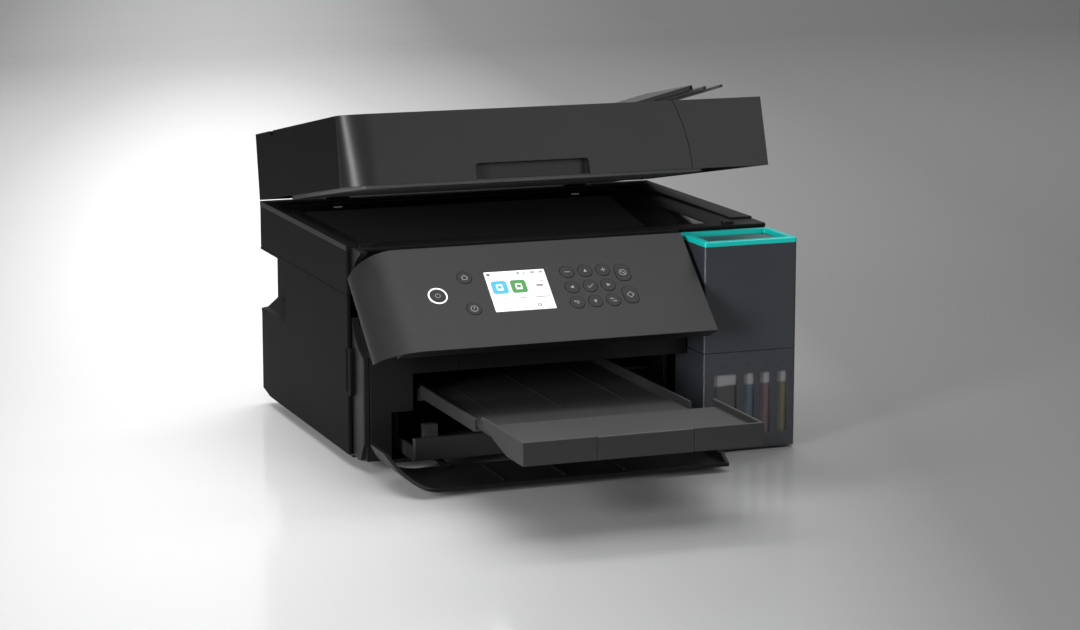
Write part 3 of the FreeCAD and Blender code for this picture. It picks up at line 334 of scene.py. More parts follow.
class MaterialSheet:
    """A material under construction with its Principled shader and object coordinates."""

    def __init__(self, name: str) -> None:
        """Make an empty material with a Principled shader.

        Args:
            name: material name.
        """
        self.material = bpy.data.materials.new(name)
        self.material.use_nodes = True
        self.material.node_tree.nodes.clear()
        self.graph = Graph(self.material.node_tree)
        self.output = self.graph.add("ShaderNodeOutputMaterial")
        self.surface = self.graph.add("ShaderNodeBsdfPrincipled")
        self.graph.feed(self.output.inputs["Surface"], self.surface.outputs[0])
        self.place = self.graph.add("ShaderNodeTexCoord").outputs["Object"]

    def group(self, tree: bpy.types.NodeTree, **inputs: Value) -> bpy.types.Node:
        """Add a shared node group.

        Args:
            tree: the group.
            inputs: socket values or source sockets, keyed by socket name.

        Returns:
            The group's node.
        """
        node = self.graph.add("ShaderNodeGroup", {"node_tree": tree})
        for name, value in inputs.items():
            self.graph.feed(node.inputs[name], value)
        return node

    def set(self, socket: str, value: Value) -> None:
        """Set or link one input of the Principled shader."""
        self.graph.feed(self.surface.inputs[socket], value)


# ---------------------------------------------------------------------------- finishes

@dataclass(frozen=True)
class PlasticFinish:
    """Moulded plastic with fine grain, softened edges with a painted highlight along them, and a trace of
    dust.
    """

    colour: Colour
    roughness: float = 0.42
    grain_scale: float = 1500.0
    grain_depth: float = 0.05
    edge_radius: float = 0.0006
    # painted edge highlight: how far the base colour is lightened along rounded edges
    edge_highlight_lift: float = 0.35
    dust: float = 0.02
    specular: float = 0.5
    dust_colour: Colour = (0.42, 0.41, 0.39)
    bright: float = 1.12
    dark: float = 0.9
    roughness_spread: float = 0.10
    grain_height: float = 0.0002

    def build(self, name: str, effects: SharedEffects) -> bpy.types.Material:
        """Make the material.

        Args:
            name: material name.
            effects: shared node groups.

        Returns:
            The finished material.
        """
        sheet = MaterialSheet(name)
        g = sheet.graph
        grain = sheet.group(effects.grain, Vector=sheet.place, Scale=self.grain_scale)
        edge = sheet.group(effects.edge_round_and_highlight, Radius=self.edge_radius)
        film = sheet.group(effects.dust, Vector=sheet.place, Amount=self.dust)
        base = g.blend(grain.outputs["Variation"], scaled(self.colour, self.dark),
                       scaled(self.colour, self.bright, 0.001))
        # Painted edge highlight: the base colour is lightened where the edge mask is on.
        lifted = scaled(self.colour, 1 + 3 * self.edge_highlight_lift, 0.01)
        base = g.blend(g.math("MULTIPLY", edge.outputs["Mask"], self.edge_highlight_lift), base, lifted)
        sheet.set("Base Color", g.blend(film.outputs["Mask"], base, self.dust_colour))
        spread = g.math("MULTIPLY", grain.outputs["Variation"], self.roughness_spread)
        sheet.set("Roughness", g.math("ADD", spread, self.roughness - self.roughness_spread / 2))
        bump = g.add("ShaderNodeBump", Strength=self.grain_depth, Distance=self.grain_height,
                     Height=grain.outputs["Height"], Normal=edge.outputs["Normal"])
        sheet.set("Normal", bump.outputs[0])
        sheet.set("Specular IOR Level", self.specular)
        return sheet.material


@dataclass(frozen=True)
class BrushedFinish:
    """Ground metal with streaks along one axis."""

    colour: Colour
    roughness: float = 0.3
    stretch: Point = (6.0, 900.0, 900.0)
    streak_dark: float = 0.8
    streak_roughness: float = 0.15
    edge_radius: float = 0.0003

    def build(self, name: str, effects: SharedEffects) -> bpy.types.Material:
        """Drawn-out noise darkens and dulls the metal along one axis, and edges are softened.

        Args:
            name: material name.
            effects: shared node groups.

        Returns:
            The material.
        """
        sheet = MaterialSheet(name)
        g = sheet.graph
        drawn = g.add("ShaderNodeVectorMath", {"operation": "MULTIPLY"})
        g.feed(drawn.inputs[0], sheet.place)
        drawn.inputs[1].default_value = self.stretch
        streaks = g.add("ShaderNodeTexNoise", Vector=drawn.outputs[0], Scale=1.0, Detail=3.0)
        edge = sheet.group(effects.edge_round_and_highlight, Radius=self.edge_radius)
        dull = scaled(self.colour, self.streak_dark)
        sheet.set("Base Color", g.blend(streaks.outputs[0], dull, self.colour))
        sheet.set("Metallic", 1.0)
        uneven = g.math("MULTIPLY", streaks.outputs[0], self.streak_roughness)
        sheet.set("Roughness", g.math("ADD", uneven, self.roughness - 0.08))
        sheet.set("Normal", edge.outputs["Normal"])
        return sheet.material


@dataclass(frozen=True)
class PlateGlassFinish:
    """Dark plate glass over a black well, with faint wiping marks."""

    colour: Colour
    roughness: float = 0.03

    def build(self, name: str, effects: SharedEffects) -> bpy.types.Material:
        """Wide twisted noise tints the glass and varies its gloss, under a clear top layer.

        Args:
            name: material name.
            effects: shared node groups; not used.

        Returns:
            The material.
        """
        sheet = MaterialSheet(name)
        g = sheet.graph
        wipes = g.add("ShaderNodeTexNoise", Vector=sheet.place, Scale=14.0, Detail=5.0, Distortion=1.5)
        sheet.set("Base Color", g.blend(wipes.outputs[0], scaled(self.colour, 0.8), self.colour))
        sheet.set("Roughness", g.math("ADD", g.math("MULTIPLY", wipes.outputs[0], 0.03), self.roughness))
        sheet.set("Specular IOR Level", 0.6)
        sheet.set("Coat Weight", 0.6)
        sheet.set("Coat Roughness", 0.02)
        return sheet.material


@dataclass(frozen=True)
class InkTankFinish:
    """Milky tanks: each tank's tint is picked along X, and lies below its ink level."""

    edges: Sequence[float] = (0.137, 0.1527, 0.1677)
    tints: Sequence[Colour] = ((0.034, 0.034, 0.035), (0.045, 0.062, 0.078), (0.078, 0.052, 0.064),
                               (0.078, 0.074, 0.044))
    level: float = 0.056
    milk: Colour = (0.20, 0.195, 0.21)
    wave: float = 0.0015
    level_sharpness: float = 600.0

    def build(self, name: str, effects: SharedEffects) -> bpy.types.Material:
        """Tint by place along X, milk above a rippled level, and faint streaks over both.

        Args:
            name: material name.
            effects: shared node groups; not used.

        Returns:
            The material.
        """
        sheet = MaterialSheet(name)
        g = sheet.graph
        parts = g.add("ShaderNodeSeparateXYZ", Vector=sheet.place)
        colour = self.tints[0]
        for edge, tint in zip(self.edges, self.tints[1:]):
            colour = g.blend(g.math("GREATER_THAN", parts.outputs["X"], edge), colour, tint)
        ripple = g.add("ShaderNodeTexNoise", Vector=sheet.place, Scale=60.0, Detail=3.0)
        waves = g.math("MULTIPLY", g.math("SUBTRACT", ripple.outputs[0], 0.5), self.wave)
        height = g.math("ADD", parts.outputs["Z"], waves)
        above = g.math("MULTIPLY", g.math("SUBTRACT", height, self.level), self.level_sharpness, clamp=True)
        colour = g.blend(above, colour, self.milk)
        streaks = g.blend(ripple.outputs[0], scaled(WHITE, 0.8), WHITE)
        sheet.set("Base Color", g.blend(1.0, colour, streaks, "MULTIPLY"))
        sheet.set("Roughness", 0.22)
        sheet.set("Coat Weight", 0.5)
        return sheet.material


@dataclass(frozen=True)
class ScreenFinish:
    """Dark screen glass with a slight tint shift, used for the surround of the lit picture."""

    colour: Colour = (0.014, 0.015, 0.017)

    def build(self, name: str, effects: SharedEffects) -> bpy.types.Material:
        """Fine noise shifts the tint and the gloss, under a clear top layer.

        Args:
            name: material name.
            effects: shared node groups; not used.

        Returns:
            The material.
        """
        sheet = MaterialSheet(name)
        g = sheet.graph
        haze = g.add("ShaderNodeTexNoise", Vector=sheet.place, Scale=40.0, Detail=4.0)
        sheet.set("Base Color", g.blend(haze.outputs[0], self.colour, scaled(self.colour, 1.6)))
        sheet.set("Roughness", g.math("ADD", g.math("MULTIPLY", haze.outputs[0], 0.05), 0.06))
        sheet.set("Coat Weight", 0.5)
        return sheet.material


@dataclass(frozen=True)
class LitFinish:
    """Back-lit print: an even glow with a fine grid of lamp cells and a soft uneven fall-off."""

    colour: Colour
    glow: float = 0.55
    grid_depth: float = 0.06

    def build(self, name: str, effects: SharedEffects) -> bpy.types.Material:
        """A checker of lamp cells over a cloudy tone, both as base and as glow.

        Args:
            name: material name.
            effects: shared node groups; not used.

        Returns:
            The material.
        """
        sheet = MaterialSheet(name)
        g = sheet.graph
        cloud = g.add("ShaderNodeTexNoise", Vector=sheet.place, Scale=30.0, Detail=2.0)
        cells = g.add("ShaderNodeTexChecker", Vector=sheet.place, Scale=4000.0)
        tone = g.blend(cloud.outputs[0], scaled(self.colour, 0.86), self.colour)
        fine = g.blend(g.math("MULTIPLY", cells.outputs["Fac"], self.grid_depth), tone, BLACK)
        sheet.set("Base Color", fine)
        sheet.set("Emission Color", fine)
        sheet.set("Emission Strength", self.glow)
        sheet.set("Roughness", 0.2)
        return sheet.material


Finish = Union[PlasticFinish, BrushedFinish, PlateGlassFinish, InkTankFinish, ScreenFinish, LitFinish]


class FinishBook:
    """Every finish of the object by material slot, built once and handed out."""

    def __init__(self, effects: SharedEffects) -> None:
        """List the finish of every slot; the materials are built when first asked for.

        Args:
            effects: shared node groups.
        """
        self.effects = effects
        self._made: dict[str, bpy.types.Material] = {}
        self.finishes: dict[Slot, Finish] = {
            Slot.CASE: PlasticFinish((0.0095, 0.0095, 0.0099), roughness=0.36, edge_highlight_lift=0.5, specular=0.27),
            # Painted shade: the case plastic made darker and duller for the side and rear walls.
            Slot.SHADED_SIDE: PlasticFinish((0.0030, 0.0030, 0.0031), roughness=0.62, edge_highlight_lift=0.5, specular=0.05,
                                     grain_depth=0.10),
            # frame_plastic also dresses the front door, so its inside is as dark as the frame: painted shade
            # in place of a sheet's shadow.
            Slot.FRAME: PlasticFinish((0.004, 0.004, 0.0042), roughness=0.42, edge_highlight_lift=0.6, specular=0.18),
            Slot.PANEL: PlasticFinish((0.0135, 0.0135, 0.0139), roughness=0.40, edge_highlight_lift=0.5, specular=0.22),
            Slot.TANK: PlasticFinish((0.0235, 0.0265, 0.032), roughness=0.36, edge_highlight_lift=0.5, specular=0.5),
            Slot.GLOSS: PlasticFinish((0.006, 0.006, 0.0064), roughness=0.32, grain_depth=0.02,
                                      specular=0.06),
            Slot.GLASS: PlateGlassFinish((0.018, 0.018, 0.0185)),
            Slot.TEAL: PlasticFinish((0.0, 0.40, 0.36), roughness=0.3, edge_highlight_lift=0.3, grain_depth=0.02),
            Slot.INK: InkTankFinish(),
            Slot.CAP: PlasticFinish((0.03, 0.03, 0.033), roughness=0.6, grain_depth=0.1),
            Slot.FOOT: PlasticFinish((0.012, 0.012, 0.012), roughness=0.75, grain_depth=0.15),
            Slot.ROLLER: PlasticFinish((0.02, 0.02, 0.021), roughness=0.7, grain_depth=0.2),
            Slot.BELT: PlasticFinish((0.01, 0.01, 0.01), roughness=0.6, grain_scale=700.0, grain_depth=0.3),
            Slot.KEY: PlasticFinish((0.011, 0.011, 0.0115), roughness=0.40, edge_highlight_lift=0.3, edge_radius=0.0003,
                                    specular=0.2),
            Slot.POWER_KEY: PlasticFinish((0.011, 0.011, 0.0115), roughness=0.40, edge_highlight_lift=0.3,
                                          specular=0.2),
            Slot.SCREEN: ScreenFinish(),
            # Painted shade: the white pad is given dark grey, the shade it lies in under the lid.
            Slot.PAD: PlasticFinish((0.13, 0.13, 0.128), roughness=0.65, grain_scale=600.0, grain_depth=0.12),
            Slot.MECHANISM: PlasticFinish((0.035, 0.035, 0.037), roughness=0.42),
            Slot.STEEL: BrushedFinish((0.40, 0.41, 0.42)),
            Slot.SUPPLY: PlasticFinish((0.012, 0.012, 0.012), roughness=0.55, grain_depth=0.12),
            Slot.TRAY: PlasticFinish((0.0165, 0.0165, 0.0169), roughness=0.46, edge_highlight_lift=0.6, specular=0.32,
                                     grain_depth=0.12),
        }

    def material(self, slot: Slot) -> bpy.types.Material:
        """Hand out a slot's material, building it on first use.

        Args:
            slot: material slot of the record.

        Returns:
            The material.
        """
        if slot.value not in self._made:
            self._made[slot.value] = self.finishes[slot].build(f"finish_{slot.value}", self.effects)
        return self._made[slot.value]

    def extra(self, name: str, finish: Finish) -> bpy.types.Material:
        """Hand out a material that is not one of the record's slots, building it on first use.

        Args:
            name: what it is for.
            finish: finish that builds it.

        Returns:
            The material.
        """
        if name not in self._made:
            self._made[name] = finish.build(f"finish_{name}", self.effects)
        return self._made[name]

    def dress_frame(self, packed: dict) -> None:
        """Give every CAD node the finish of its record slot.

        Args:
            packed: the loaded frame.
        """
        for entry in packed["record"]["subparts"]:
            node = packed["nodes"][entry["node"]]
            material = self.material(Slot(entry["material_slot"]))
            for place in node.material_slots:
                place.material = material


# ---------------------------------------------------------------------------- mesh building

class Mould:
    """Builds new mesh pieces from numpy point grids and outlines."""

    @staticmethod
    def piece(name: str, points: np.ndarray, faces: Sequence[Sequence[int]], material: bpy.types.Material,
              body: str) -> bpy.types.Object:
        """Make an object at the origin whose points are already in the row frame.

        Args:
            name: object name.
            points: (n, 3) positions in metres.
            faces: point numbers of every face.
            material: finish.
            body: record body the piece moves with.

        Returns:
            The new object, riding on its body.
        """
        mesh = bpy.data.meshes.new(name)
        mesh.from_pydata(points.tolist(), [], [list(map(int, f)) for f in faces])
        mesh.materials.append(material)
        mesh.validate()
        thing = bpy.data.objects.new(name, mesh)
        bpy.context.scene.collection.objects.link(thing)
        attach(thing, body)
        LOG.info("%s rides on %s", name, body)
        return thing

    @staticmethod
    def rounded_outline(width: float, height: float, radius: float, steps: int = 8) -> np.ndarray:
        """Outline of a rounded rectangle about the origin.

        Each corner is centre + radius * (cos a, sin a) for a quarter turn of a.

        Args:
            width: size across.
            height: size upwards.
            radius: corner radius.
            steps: points per corner.

        Returns:
            (n, 2) points.
        """
        turn = np.linspace(0.0, math.pi / 2, steps)
        arc = np.stack([np.cos(turn), np.sin(turn)], axis=1) * radius
        half = np.array([width / 2 - radius, height / 2 - radius])
        corners = []
        for quarter, sign in enumerate(((1, 1), (-1, 1), (-1, -1), (1, -1))):
            angle = quarter * math.pi / 2
            spin = np.array([[math.cos(angle), -math.sin(angle)], [math.sin(angle), math.cos(angle)]])
            corners.append(arc @ spin.T + half * np.array(sign))
        return np.concatenate(corners)

    @staticmethod
    def anticlockwise(outline: np.ndarray) -> np.ndarray:
        """Run a closed outline so that its area, half the sum of x_i y_(i+1) - y_i x_(i+1), is positive.

        Args:
            outline: (n, 2) points.

        Returns:
            The same points, in this or the opposite order.
        """
        x, y = outline.T
        area = 0.5 * np.sum(x * np.roll(y, -1) - y * np.roll(x, -1))
        return outline if area > 0 else outline[::-1]

    @staticmethod
    def slab(outline: np.ndarray, depth: float) -> Shape:
        """Closed plate from a flat outline: face at depth 0 downwards, front at depth upwards.

        Args:
            outline: (n, 2) points.
            depth: thickness.

        Returns:
            (points, faces); points are (x, y, height).
        """
        outline = Mould.anticlockwise(outline)
        count = len(outline)
        low = np.column_stack([outline, np.zeros(count)])
        high = np.column_stack([outline, np.full(count, depth)])
        ring = np.arange(count)
        after = np.roll(ring, -1)
        sides = np.column_stack([ring, after, after + count, ring + count]).tolist()
        return np.concatenate([low, high]), [ring[::-1].tolist(), (ring + count).tolist()] + sides

    @staticmethod
    def lathe(profile: np.ndarray, steps: int = 48) -> Shape:
        """Turn a closed (radius, height) profile about the height axis.

        Point (i, j) is (r_j cos a_i, r_j sin a_i, h_j) with a_i = 2 pi i / steps.

        Args:
            profile: (n, 2) points of the closed section.
            steps: points round the axis.

        Returns:
            (points, faces).
        """
        profile = Mould.anticlockwise(profile)
        angle = np.linspace(0.0, 2 * math.pi, steps, endpoint=False)[:, None]
        radius, height = profile[:, 0][None, :], profile[:, 1][None, :]
        points = np.stack([radius * np.cos(angle), radius * np.sin(angle),
                           np.broadcast_to(height, (steps, len(profile)))], axis=2).reshape(-1, 3)
        grid = np.arange(steps * len(profile)).reshape(steps, len(profile))
        along, around = np.roll(grid, -1, axis=1), np.roll(grid, -1, axis=0)
        both = np.roll(around, -1, axis=1)
        faces = np.stack([grid, around, both, along], axis=2).reshape(-1, 4).tolist()
        return points, faces

    @staticmethod
    def lettering(text: str, size: float, depth: float) -> Shape:
        """Flat sign as a mesh, centred on the origin, facing +Z.

        Args:
            text: the sign.
            size: height of the type.
            depth: thickness.

        Returns:
            (points, faces), with doubled points merged.
        """
        curve = bpy.data.curves.new("sign", "FONT")
        curve.body = text
        curve.size = size
        curve.extrude = depth / 2
        curve.align_x = "CENTER"
        curve.align_y = "CENTER"
        holder = bpy.data.objects.new("sign", curve)
        bpy.context.scene.collection.objects.link(holder)
        bpy.context.view_layer.update()
        mesh = bpy.data.meshes.new_from_object(holder.evaluated_get(bpy.context.evaluated_depsgraph_get()))
        flat = np.empty(len(mesh.vertices) * 3)
        mesh.vertices.foreach_get("co", flat)
        points, merged = np.unique(flat.reshape(-1, 3).round(7), axis=0, return_inverse=True)
        merged = merged.reshape(-1)
        faces = [merged[list(p.vertices)].tolist() for p in mesh.polygons]
        bpy.data.objects.remove(holder)
        bpy.data.curves.remove(curve)
        bpy.data.meshes.remove(mesh)
        middle = (points.max(0) + points.min(0)) / 2
        return points - middle * np.array([1.0, 1.0, 0.0]), faces


@dataclass(frozen=True)
class Plane:
    """A flat working plane in the row frame: across, up and outward directions from a point."""

    origin: np.ndarray
    across: np.ndarray
    up: np.ndarray
    out: np.ndarray

    def lay(self, points: np.ndarray, x: float = 0.0, y: float = 0.0, lift: float = 0.0) -> np.ndarray:
        """Move flat points on to the plane.

        point = origin + (px + x) across + (py + y) up + (pz + lift) out.

        Args:
            points: (n, 3) points about their own origin.
            x: shift across.
            y: shift up.
            lift: shift outwards.

        Returns:
            (n, 3) points in the row frame.
        """
        return (self.origin + np.outer(points[:, 0] + x, self.across) + np.outer(points[:, 1] + y, self.up)
                + np.outer(points[:, 2] + lift, self.out))


# ---------------------------------------------------------------------------- sub-assemblies

@dataclass
class ControlPanelLook:
    """Signs on the keys, lit screen and power ring on the tilted control panel."""

    book: FinishBook
    pivot: tuple[float, float] = (-0.1434, 0.1397)
    tilt: float = 49.0
    face: float = -0.164
    key_lift: float = 0.00036
    print_depth: float = 0.00006
    tile_depth: float = 0.00003
    screen_sink: float = -0.00013
    screen_margin: float = 0.0012
    line: float = 0.0005
    screen: tuple[float, float, float, float] = (-0.0864, -0.0331, 0.1109, 0.1533)
    power_at: tuple[float, float] = (-0.1303, 0.1317)
    home_at: tuple[float, float] = (-0.1033, 0.1486)
    help_at: tuple[float, float] = (-0.1033, 0.1161)
    stop_at: tuple[float, float] = (0.0335, 0.1435)
    start_at: tuple[float, float] = (0.0335, 0.1198)
    columns: Sequence[float] = (-0.0144, 0.0014, 0.0173)
    rows: Sequence[float] = (0.1477, 0.1316, 0.1156)
    count: int = 0

    def plane(self) -> Plane:
        """Working plane of the panel face.

        A point of the closed panel's face at height h turns about the pivot by the tilt, so that
        x runs across and y is that height h.

        Returns:
            The plane.
        """
        angle = math.radians(self.tilt)
        c, s = math.cos(angle), math.sin(angle)
        offset = self.face - self.pivot[0]
        origin = np.array([0.0, self.pivot[0] + offset * c - self.pivot[1] * s,
                           self.pivot[1] - offset * s - self.pivot[1] * c])
        return Plane(origin, np.array([1.0, 0.0, 0.0]), np.array([0.0, s, c]), np.array([0.0, -c, s]))

    def lay(self, name: str, shape: Shape, at: Sequence[float], lift: float, material: bpy.types.Material,
            body: str) -> None:
        """Lay one flat shape on the panel.

        Args:
            name: object name.
            shape: (points, faces) of the flat shape about its own origin.
            at: x and height on the closed panel.
            lift: distance out of the panel's face.
            material: finish.
            body: record body the piece rides on.
        """
        points, faces = shape
        Mould.piece(name, self.plane().lay(points, at[0], at[1], lift), faces, material, body)
        self.count += 1

    def sign(self, name: str, outlines: Sequence[np.ndarray], at: Sequence[float],
             material: bpy.types.Material, body: str) -> None:
        """Lay a sign made of several flat outlines on a key.

        Args:
            name: object name; the outlines are numbered.
            outlines: (n, 2) points of every stroke.
            at: x and height on the closed panel.
            material: finish.
            body: record body of the key.
        """
        for number, outline in enumerate(outlines, start=1):
            stroke = Mould.slab(outline, self.print_depth)
            self.lay(f"{name}_{number}", stroke, at, self.key_lift, material, body)

    @staticmethod
    def arc(inner: float, outer: float, start: float, end: float, steps: int = 28) -> np.ndarray:
        """Outline of a part ring: outer (cos a, sin a) out along a, inner (cos a, sin a) back.

        Args:
            inner: inner radius.
            outer: outer radius.
            start: first angle in degrees.
            end: last angle in degrees.
            steps: points along each rim.

        Returns:
            (n, 2) points.
        """
        angle = np.radians(np.linspace(start, end, steps))
        rim = np.stack([np.cos(angle), np.sin(angle)], axis=1)
        return np.concatenate([rim * outer, rim[::-1] * inner])

    @staticmethod
    def bar(x0: float, y0: float, x1: float, y1: float, width: float) -> np.ndarray:
        """Outline of a straight stroke between two points.

        The corners are the end points plus and minus half the width along the stroke's normal.

        Args:
            x0: start across.
            y0: start upwards.
            x1: end across.
            y1: end upwards.
            width: width of the stroke.

        Returns:
            (4, 2) points.
        """
        start, end = np.array([x0, y0]), np.array([x1, y1])
        along = (end - start) / np.linalg.norm(end - start)
        side = np.array([-along[1], along[0]]) * width / 2
        return np.array([start - side, end - side, end + side, start + side])

    @staticmethod
    def triangle(size: float, heading: float) -> np.ndarray:
        """Outline of an arrow head: size (cos a, sin a) at the heading and 130 degrees each side of it.

        Args:
            size: distance from the middle to each corner.
            heading: direction it points in, in degrees.

        Returns:
            (3, 2) points.
        """
        angle = np.radians(heading + np.array([0.0, 130.0, -130.0]))
        return np.stack([np.cos(angle), np.sin(angle)], axis=1) * size

    def ring(self, radius: float, width: float) -> list[np.ndarray]:
        """Thin ring as two half rings."""
        return [self.arc(radius - width, radius, 0.0, 180.0), self.arc(radius - width, radius, 180.0, 360.0)]

    def power(self) -> None:
        """White ring round the power key, and its bar-and-arc sign."""
        white = self.book.extra("white_ring", LitFinish((0.92, 0.94, 0.95), glow=0.55))
        ring = np.array([(0.0069, 0.0), (0.0082, 0.0), (0.0081, 0.0003), (0.0070, 0.0003)])
        self.lay("power_ring", Mould.lathe(ring), self.power_at, -0.00002, white, Body.PANEL.value)
        ink = self.book.extra("pale_print", self.print_finish())
        marks = [self.arc(0.0018, 0.0018 + self.line, 60.0, -240.0),
                 self.bar(0.0, 0.0008, 0.0, 0.0028, self.line)]
        self.sign("power_sign", marks, self.power_at, ink, "power_key_cap")

    @staticmethod
    def print_finish() -> PlasticFinish:
        """Pale printing on keys."""
        return PlasticFinish((0.30, 0.30, 0.31), roughness=0.5, grain_depth=0.0)

    def pad(self) -> None:
        """Signs of the nine small keys: minus, arrows, plus, confirm tick, back and swap."""
        ink = self.book.extra("pale_print", self.print_finish())
        w = self.line
        tick = [self.bar(-0.0024, 0.0, -0.0007, -0.0017, w), self.bar(-0.0009, -0.0019, 0.0026, 0.0018, w)]
        back = [self.bar(-0.0022, 0.0009, 0.0012, 0.0009, w), self.arc(0.0009, 0.0009 + w, 90.0, -90.0),
                self.bar(-0.0010, -0.0011, 0.0008, -0.0011, w),
                self.triangle(0.0013, 180.0) + (-0.0018, 0.0009)]
        swap = [self.bar(-0.0018, 0.0013, 0.0010, 0.0013, w),
                self.triangle(0.0011, 180.0) + (-0.0018, 0.0013),
                self.bar(-0.0010, -0.0013, 0.0018, -0.0013, w),
                self.triangle(0.0011, 0.0) + (0.0018, -0.0013)]
        signs = ([self.bar(-0.0022, 0.0, 0.0022, 0.0, w * 1.3)], [self.triangle(0.0019, 90.0)],
                 [self.bar(-0.0021, 0.0, 0.0021, 0.0, w * 1.2), self.bar(0.0, -0.0021, 0.0, 0.0021, w * 1.2)],
                 [self.triangle(0.0019, 180.0)], tick, [self.triangle(0.0019, 0.0)],
                 back, [self.triangle(0.0019, -90.0)], swap)
        places = [(x, z) for z in self.rows for x in self.columns]
        for number, (marks, at) in enumerate(zip(signs, places), start=1):
            self.sign(f"pad_sign_{number}", marks, at, ink, f"pad_key_{number}_cap")

    def side_keys(self) -> None:
        """House, question mark, crossed ring and diamond on the other keys."""
        ink = self.book.extra("pale_print", self.print_finish())
        w = self.line
        house = [self.bar(-0.0028, -0.0002, 0.0, 0.0025, w), self.bar(0.0028, -0.0002, 0.0, 0.0025, w),
                 self.bar(-0.0019, 0.0003, -0.0019, -0.0024, w), self.bar(0.0019, 0.0003, 0.0019, -0.0024, w),
                 self.bar(-0.0019, -0.0022, 0.0019, -0.0022, w)]
        self.sign("home_sign", house, self.home_at, ink, "home_key_cap")
        self.sign("help_ring", self.ring(0.0031, w), self.help_at, ink, "help_key_cap")
        query = Mould.lettering("?", 0.0048, self.print_depth)
        self.lay("help_sign", query, self.help_at, self.key_lift, ink, "help_key_cap")
        crossed = self.ring(0.0031, w) + [self.bar(-0.0021, 0.0021, 0.0021, -0.0021, w)]
        self.sign("stop_sign", crossed, self.stop_at, ink, "stop_key_cap")
        corner = 0.0029
        diamond = [self.bar(0.0, corner, corner, 0.0, w), self.bar(corner, 0.0, 0.0, -corner, w),
                   self.bar(0.0, -corner, -corner, 0.0, w), self.bar(-corner, 0.0, 0.0, corner, w)]
        self.sign("start_sign", diamond, self.start_at, ink, "start_key_cap")

    def tile(self, name: str, dx: float, dz: float, size: tuple[float, float], round_to: float, layer: int,
             material: bpy.types.Material) -> None:
        """Lay one rounded tile on the screen.

        Args:
            name: object name.
            dx: shift across from the screen's centre.
            dz: shift upwards from the screen's centre.
            size: width and height.
            round_to: corner radius.
            layer: 0 for the ground, one more for every tile below it.
            material: finish.
        """
        x0, x1, z0, z1 = self.screen
        at = ((x0 + x1) / 2 + dx, (z0 + z1) / 2 + dz)
        plate = Mould.slab(Mould.rounded_outline(*size, round_to, 5), self.tile_depth)
        self.lay(name, plate, at, self.screen_sink + layer * self.tile_depth, material, Body.PANEL.value)

    def picture(self) -> None:
        """Lit screen picture: white ground, two rounded icons, pale captions and small marks."""
        x0, x1, z0, z1 = self.screen
        white = self.book.extra("lit_white", LitFinish((0.84, 0.88, 0.89), glow=0.45))
        blue = self.book.extra("lit_blue", LitFinish((0.01, 0.36, 0.66), glow=0.25))
        green = self.book.extra("lit_green", LitFinish((0.004, 0.22, 0.012), glow=0.25))
        grey = self.book.extra("lit_grey", LitFinish((0.07, 0.075, 0.08), glow=0.05))
        faint = self.book.extra("lit_faint", LitFinish((0.22, 0.23, 0.24), glow=0.12))
        ground = (x1 - x0 - self.screen_margin, z1 - z0 - self.screen_margin)
        self.tile("screen_ground", 0.0, 0.0, ground, self.screen_margin / 2, 0, white)
        for name, dx, material in (("left", -0.0163, blue), ("middle", 0.0002, green)):
            self.tile(f"screen_icon_{name}", dx, 0.0042, (0.0135, 0.0135), 0.0026, 1, material)
            self.tile(f"screen_sheet_{name}", dx, 0.0042, (0.0056, 0.0062), 0.0008, 2, white)
            self.tile(f"screen_fold_{name}", dx, 0.0044, (0.0036, 0.0030), 0.0004, 3, material)
            self.tile(f"screen_caption_{name}", dx, -0.0078, (0.0058, 0.0010), 0.0003, 1, faint)
        marks = (("house", -0.0228, 0.0178, 0.0030, 0.0026, grey),
                 ("dot", 0.0030, 0.0180, 0.0022, 0.0018, grey),
                 ("level_1", 0.0078, 0.0180, 0.0008, 0.0028, grey),
                 ("level_2", 0.0092, 0.0177, 0.0008, 0.0020, faint),
                 ("cell", 0.0155, 0.0180, 0.0036, 0.0020, faint),
                 ("corner", 0.0228, 0.0180, 0.0030, 0.0022, faint),
                 ("page", 0.0182, 0.0042, 0.0060, 0.0026, faint),
                 ("page_top", 0.0212, 0.0090, 0.0030, 0.0012, faint),
                 ("caption_end", 0.0178, -0.0078, 0.0128, 0.0010, faint),
                 ("cog", 0.0128, -0.0160, 0.0034, 0.0030, grey),
                 ("cog_core", 0.0128, -0.0160, 0.0016, 0.0014, white))
        for name, dx, dz, width, height, material in marks:
            layer = 2 if name == "cog_core" else 1
            self.tile(f"screen_{name}", dx, dz, (width, height), min(width, height) * 0.3, layer, material)

    def build(self) -> None:
        """Make every surface piece of the panel."""
        self.power()
        self.pad()
        self.side_keys()
        self.picture()
        LOG.info("control panel: %d pieces", self.count)


@dataclass
class TankUnitLook:
    """Small plain marks above the four tank windows."""

    book: FinishBook
    face: float = -0.1640
    centres: Sequence[float] = (0.1205, 0.1449, 0.1600, 0.1754)
    height: float = 0.0738
    radius: float = 0.0014
    line: float = 0.0004
    depth: float = 0.00004

    def build(self) -> None:
        """Sink a thin ring into the housing's front above each window."""
        ink = self.book.extra("faint_print",
                              PlasticFinish((0.006, 0.006, 0.007), roughness=0.6, grain_depth=0.0))
        wall = Plane(np.array([0.0, self.face + self.depth / 2, 0.0]), np.array([1.0, 0.0, 0.0]),
                     np.array([0.0, 0.0, 1.0]), np.array([0.0, -1.0, 0.0]))
        inner = self.radius - self.line
        profile = np.array([(inner, 0.0), (self.radius, 0.0), (self.radius, self.depth), (inner, self.depth)])
        points, faces = Mould.lathe(profile, 24)
        for index, x in enumerate(self.centres, start=1):
            Mould.piece(f"window_mark_{index}", wall.lay(points, x, self.height), faces, ink, Body.CASE.value)
        LOG.info("tank unit: %d window marks", len(self.centres))


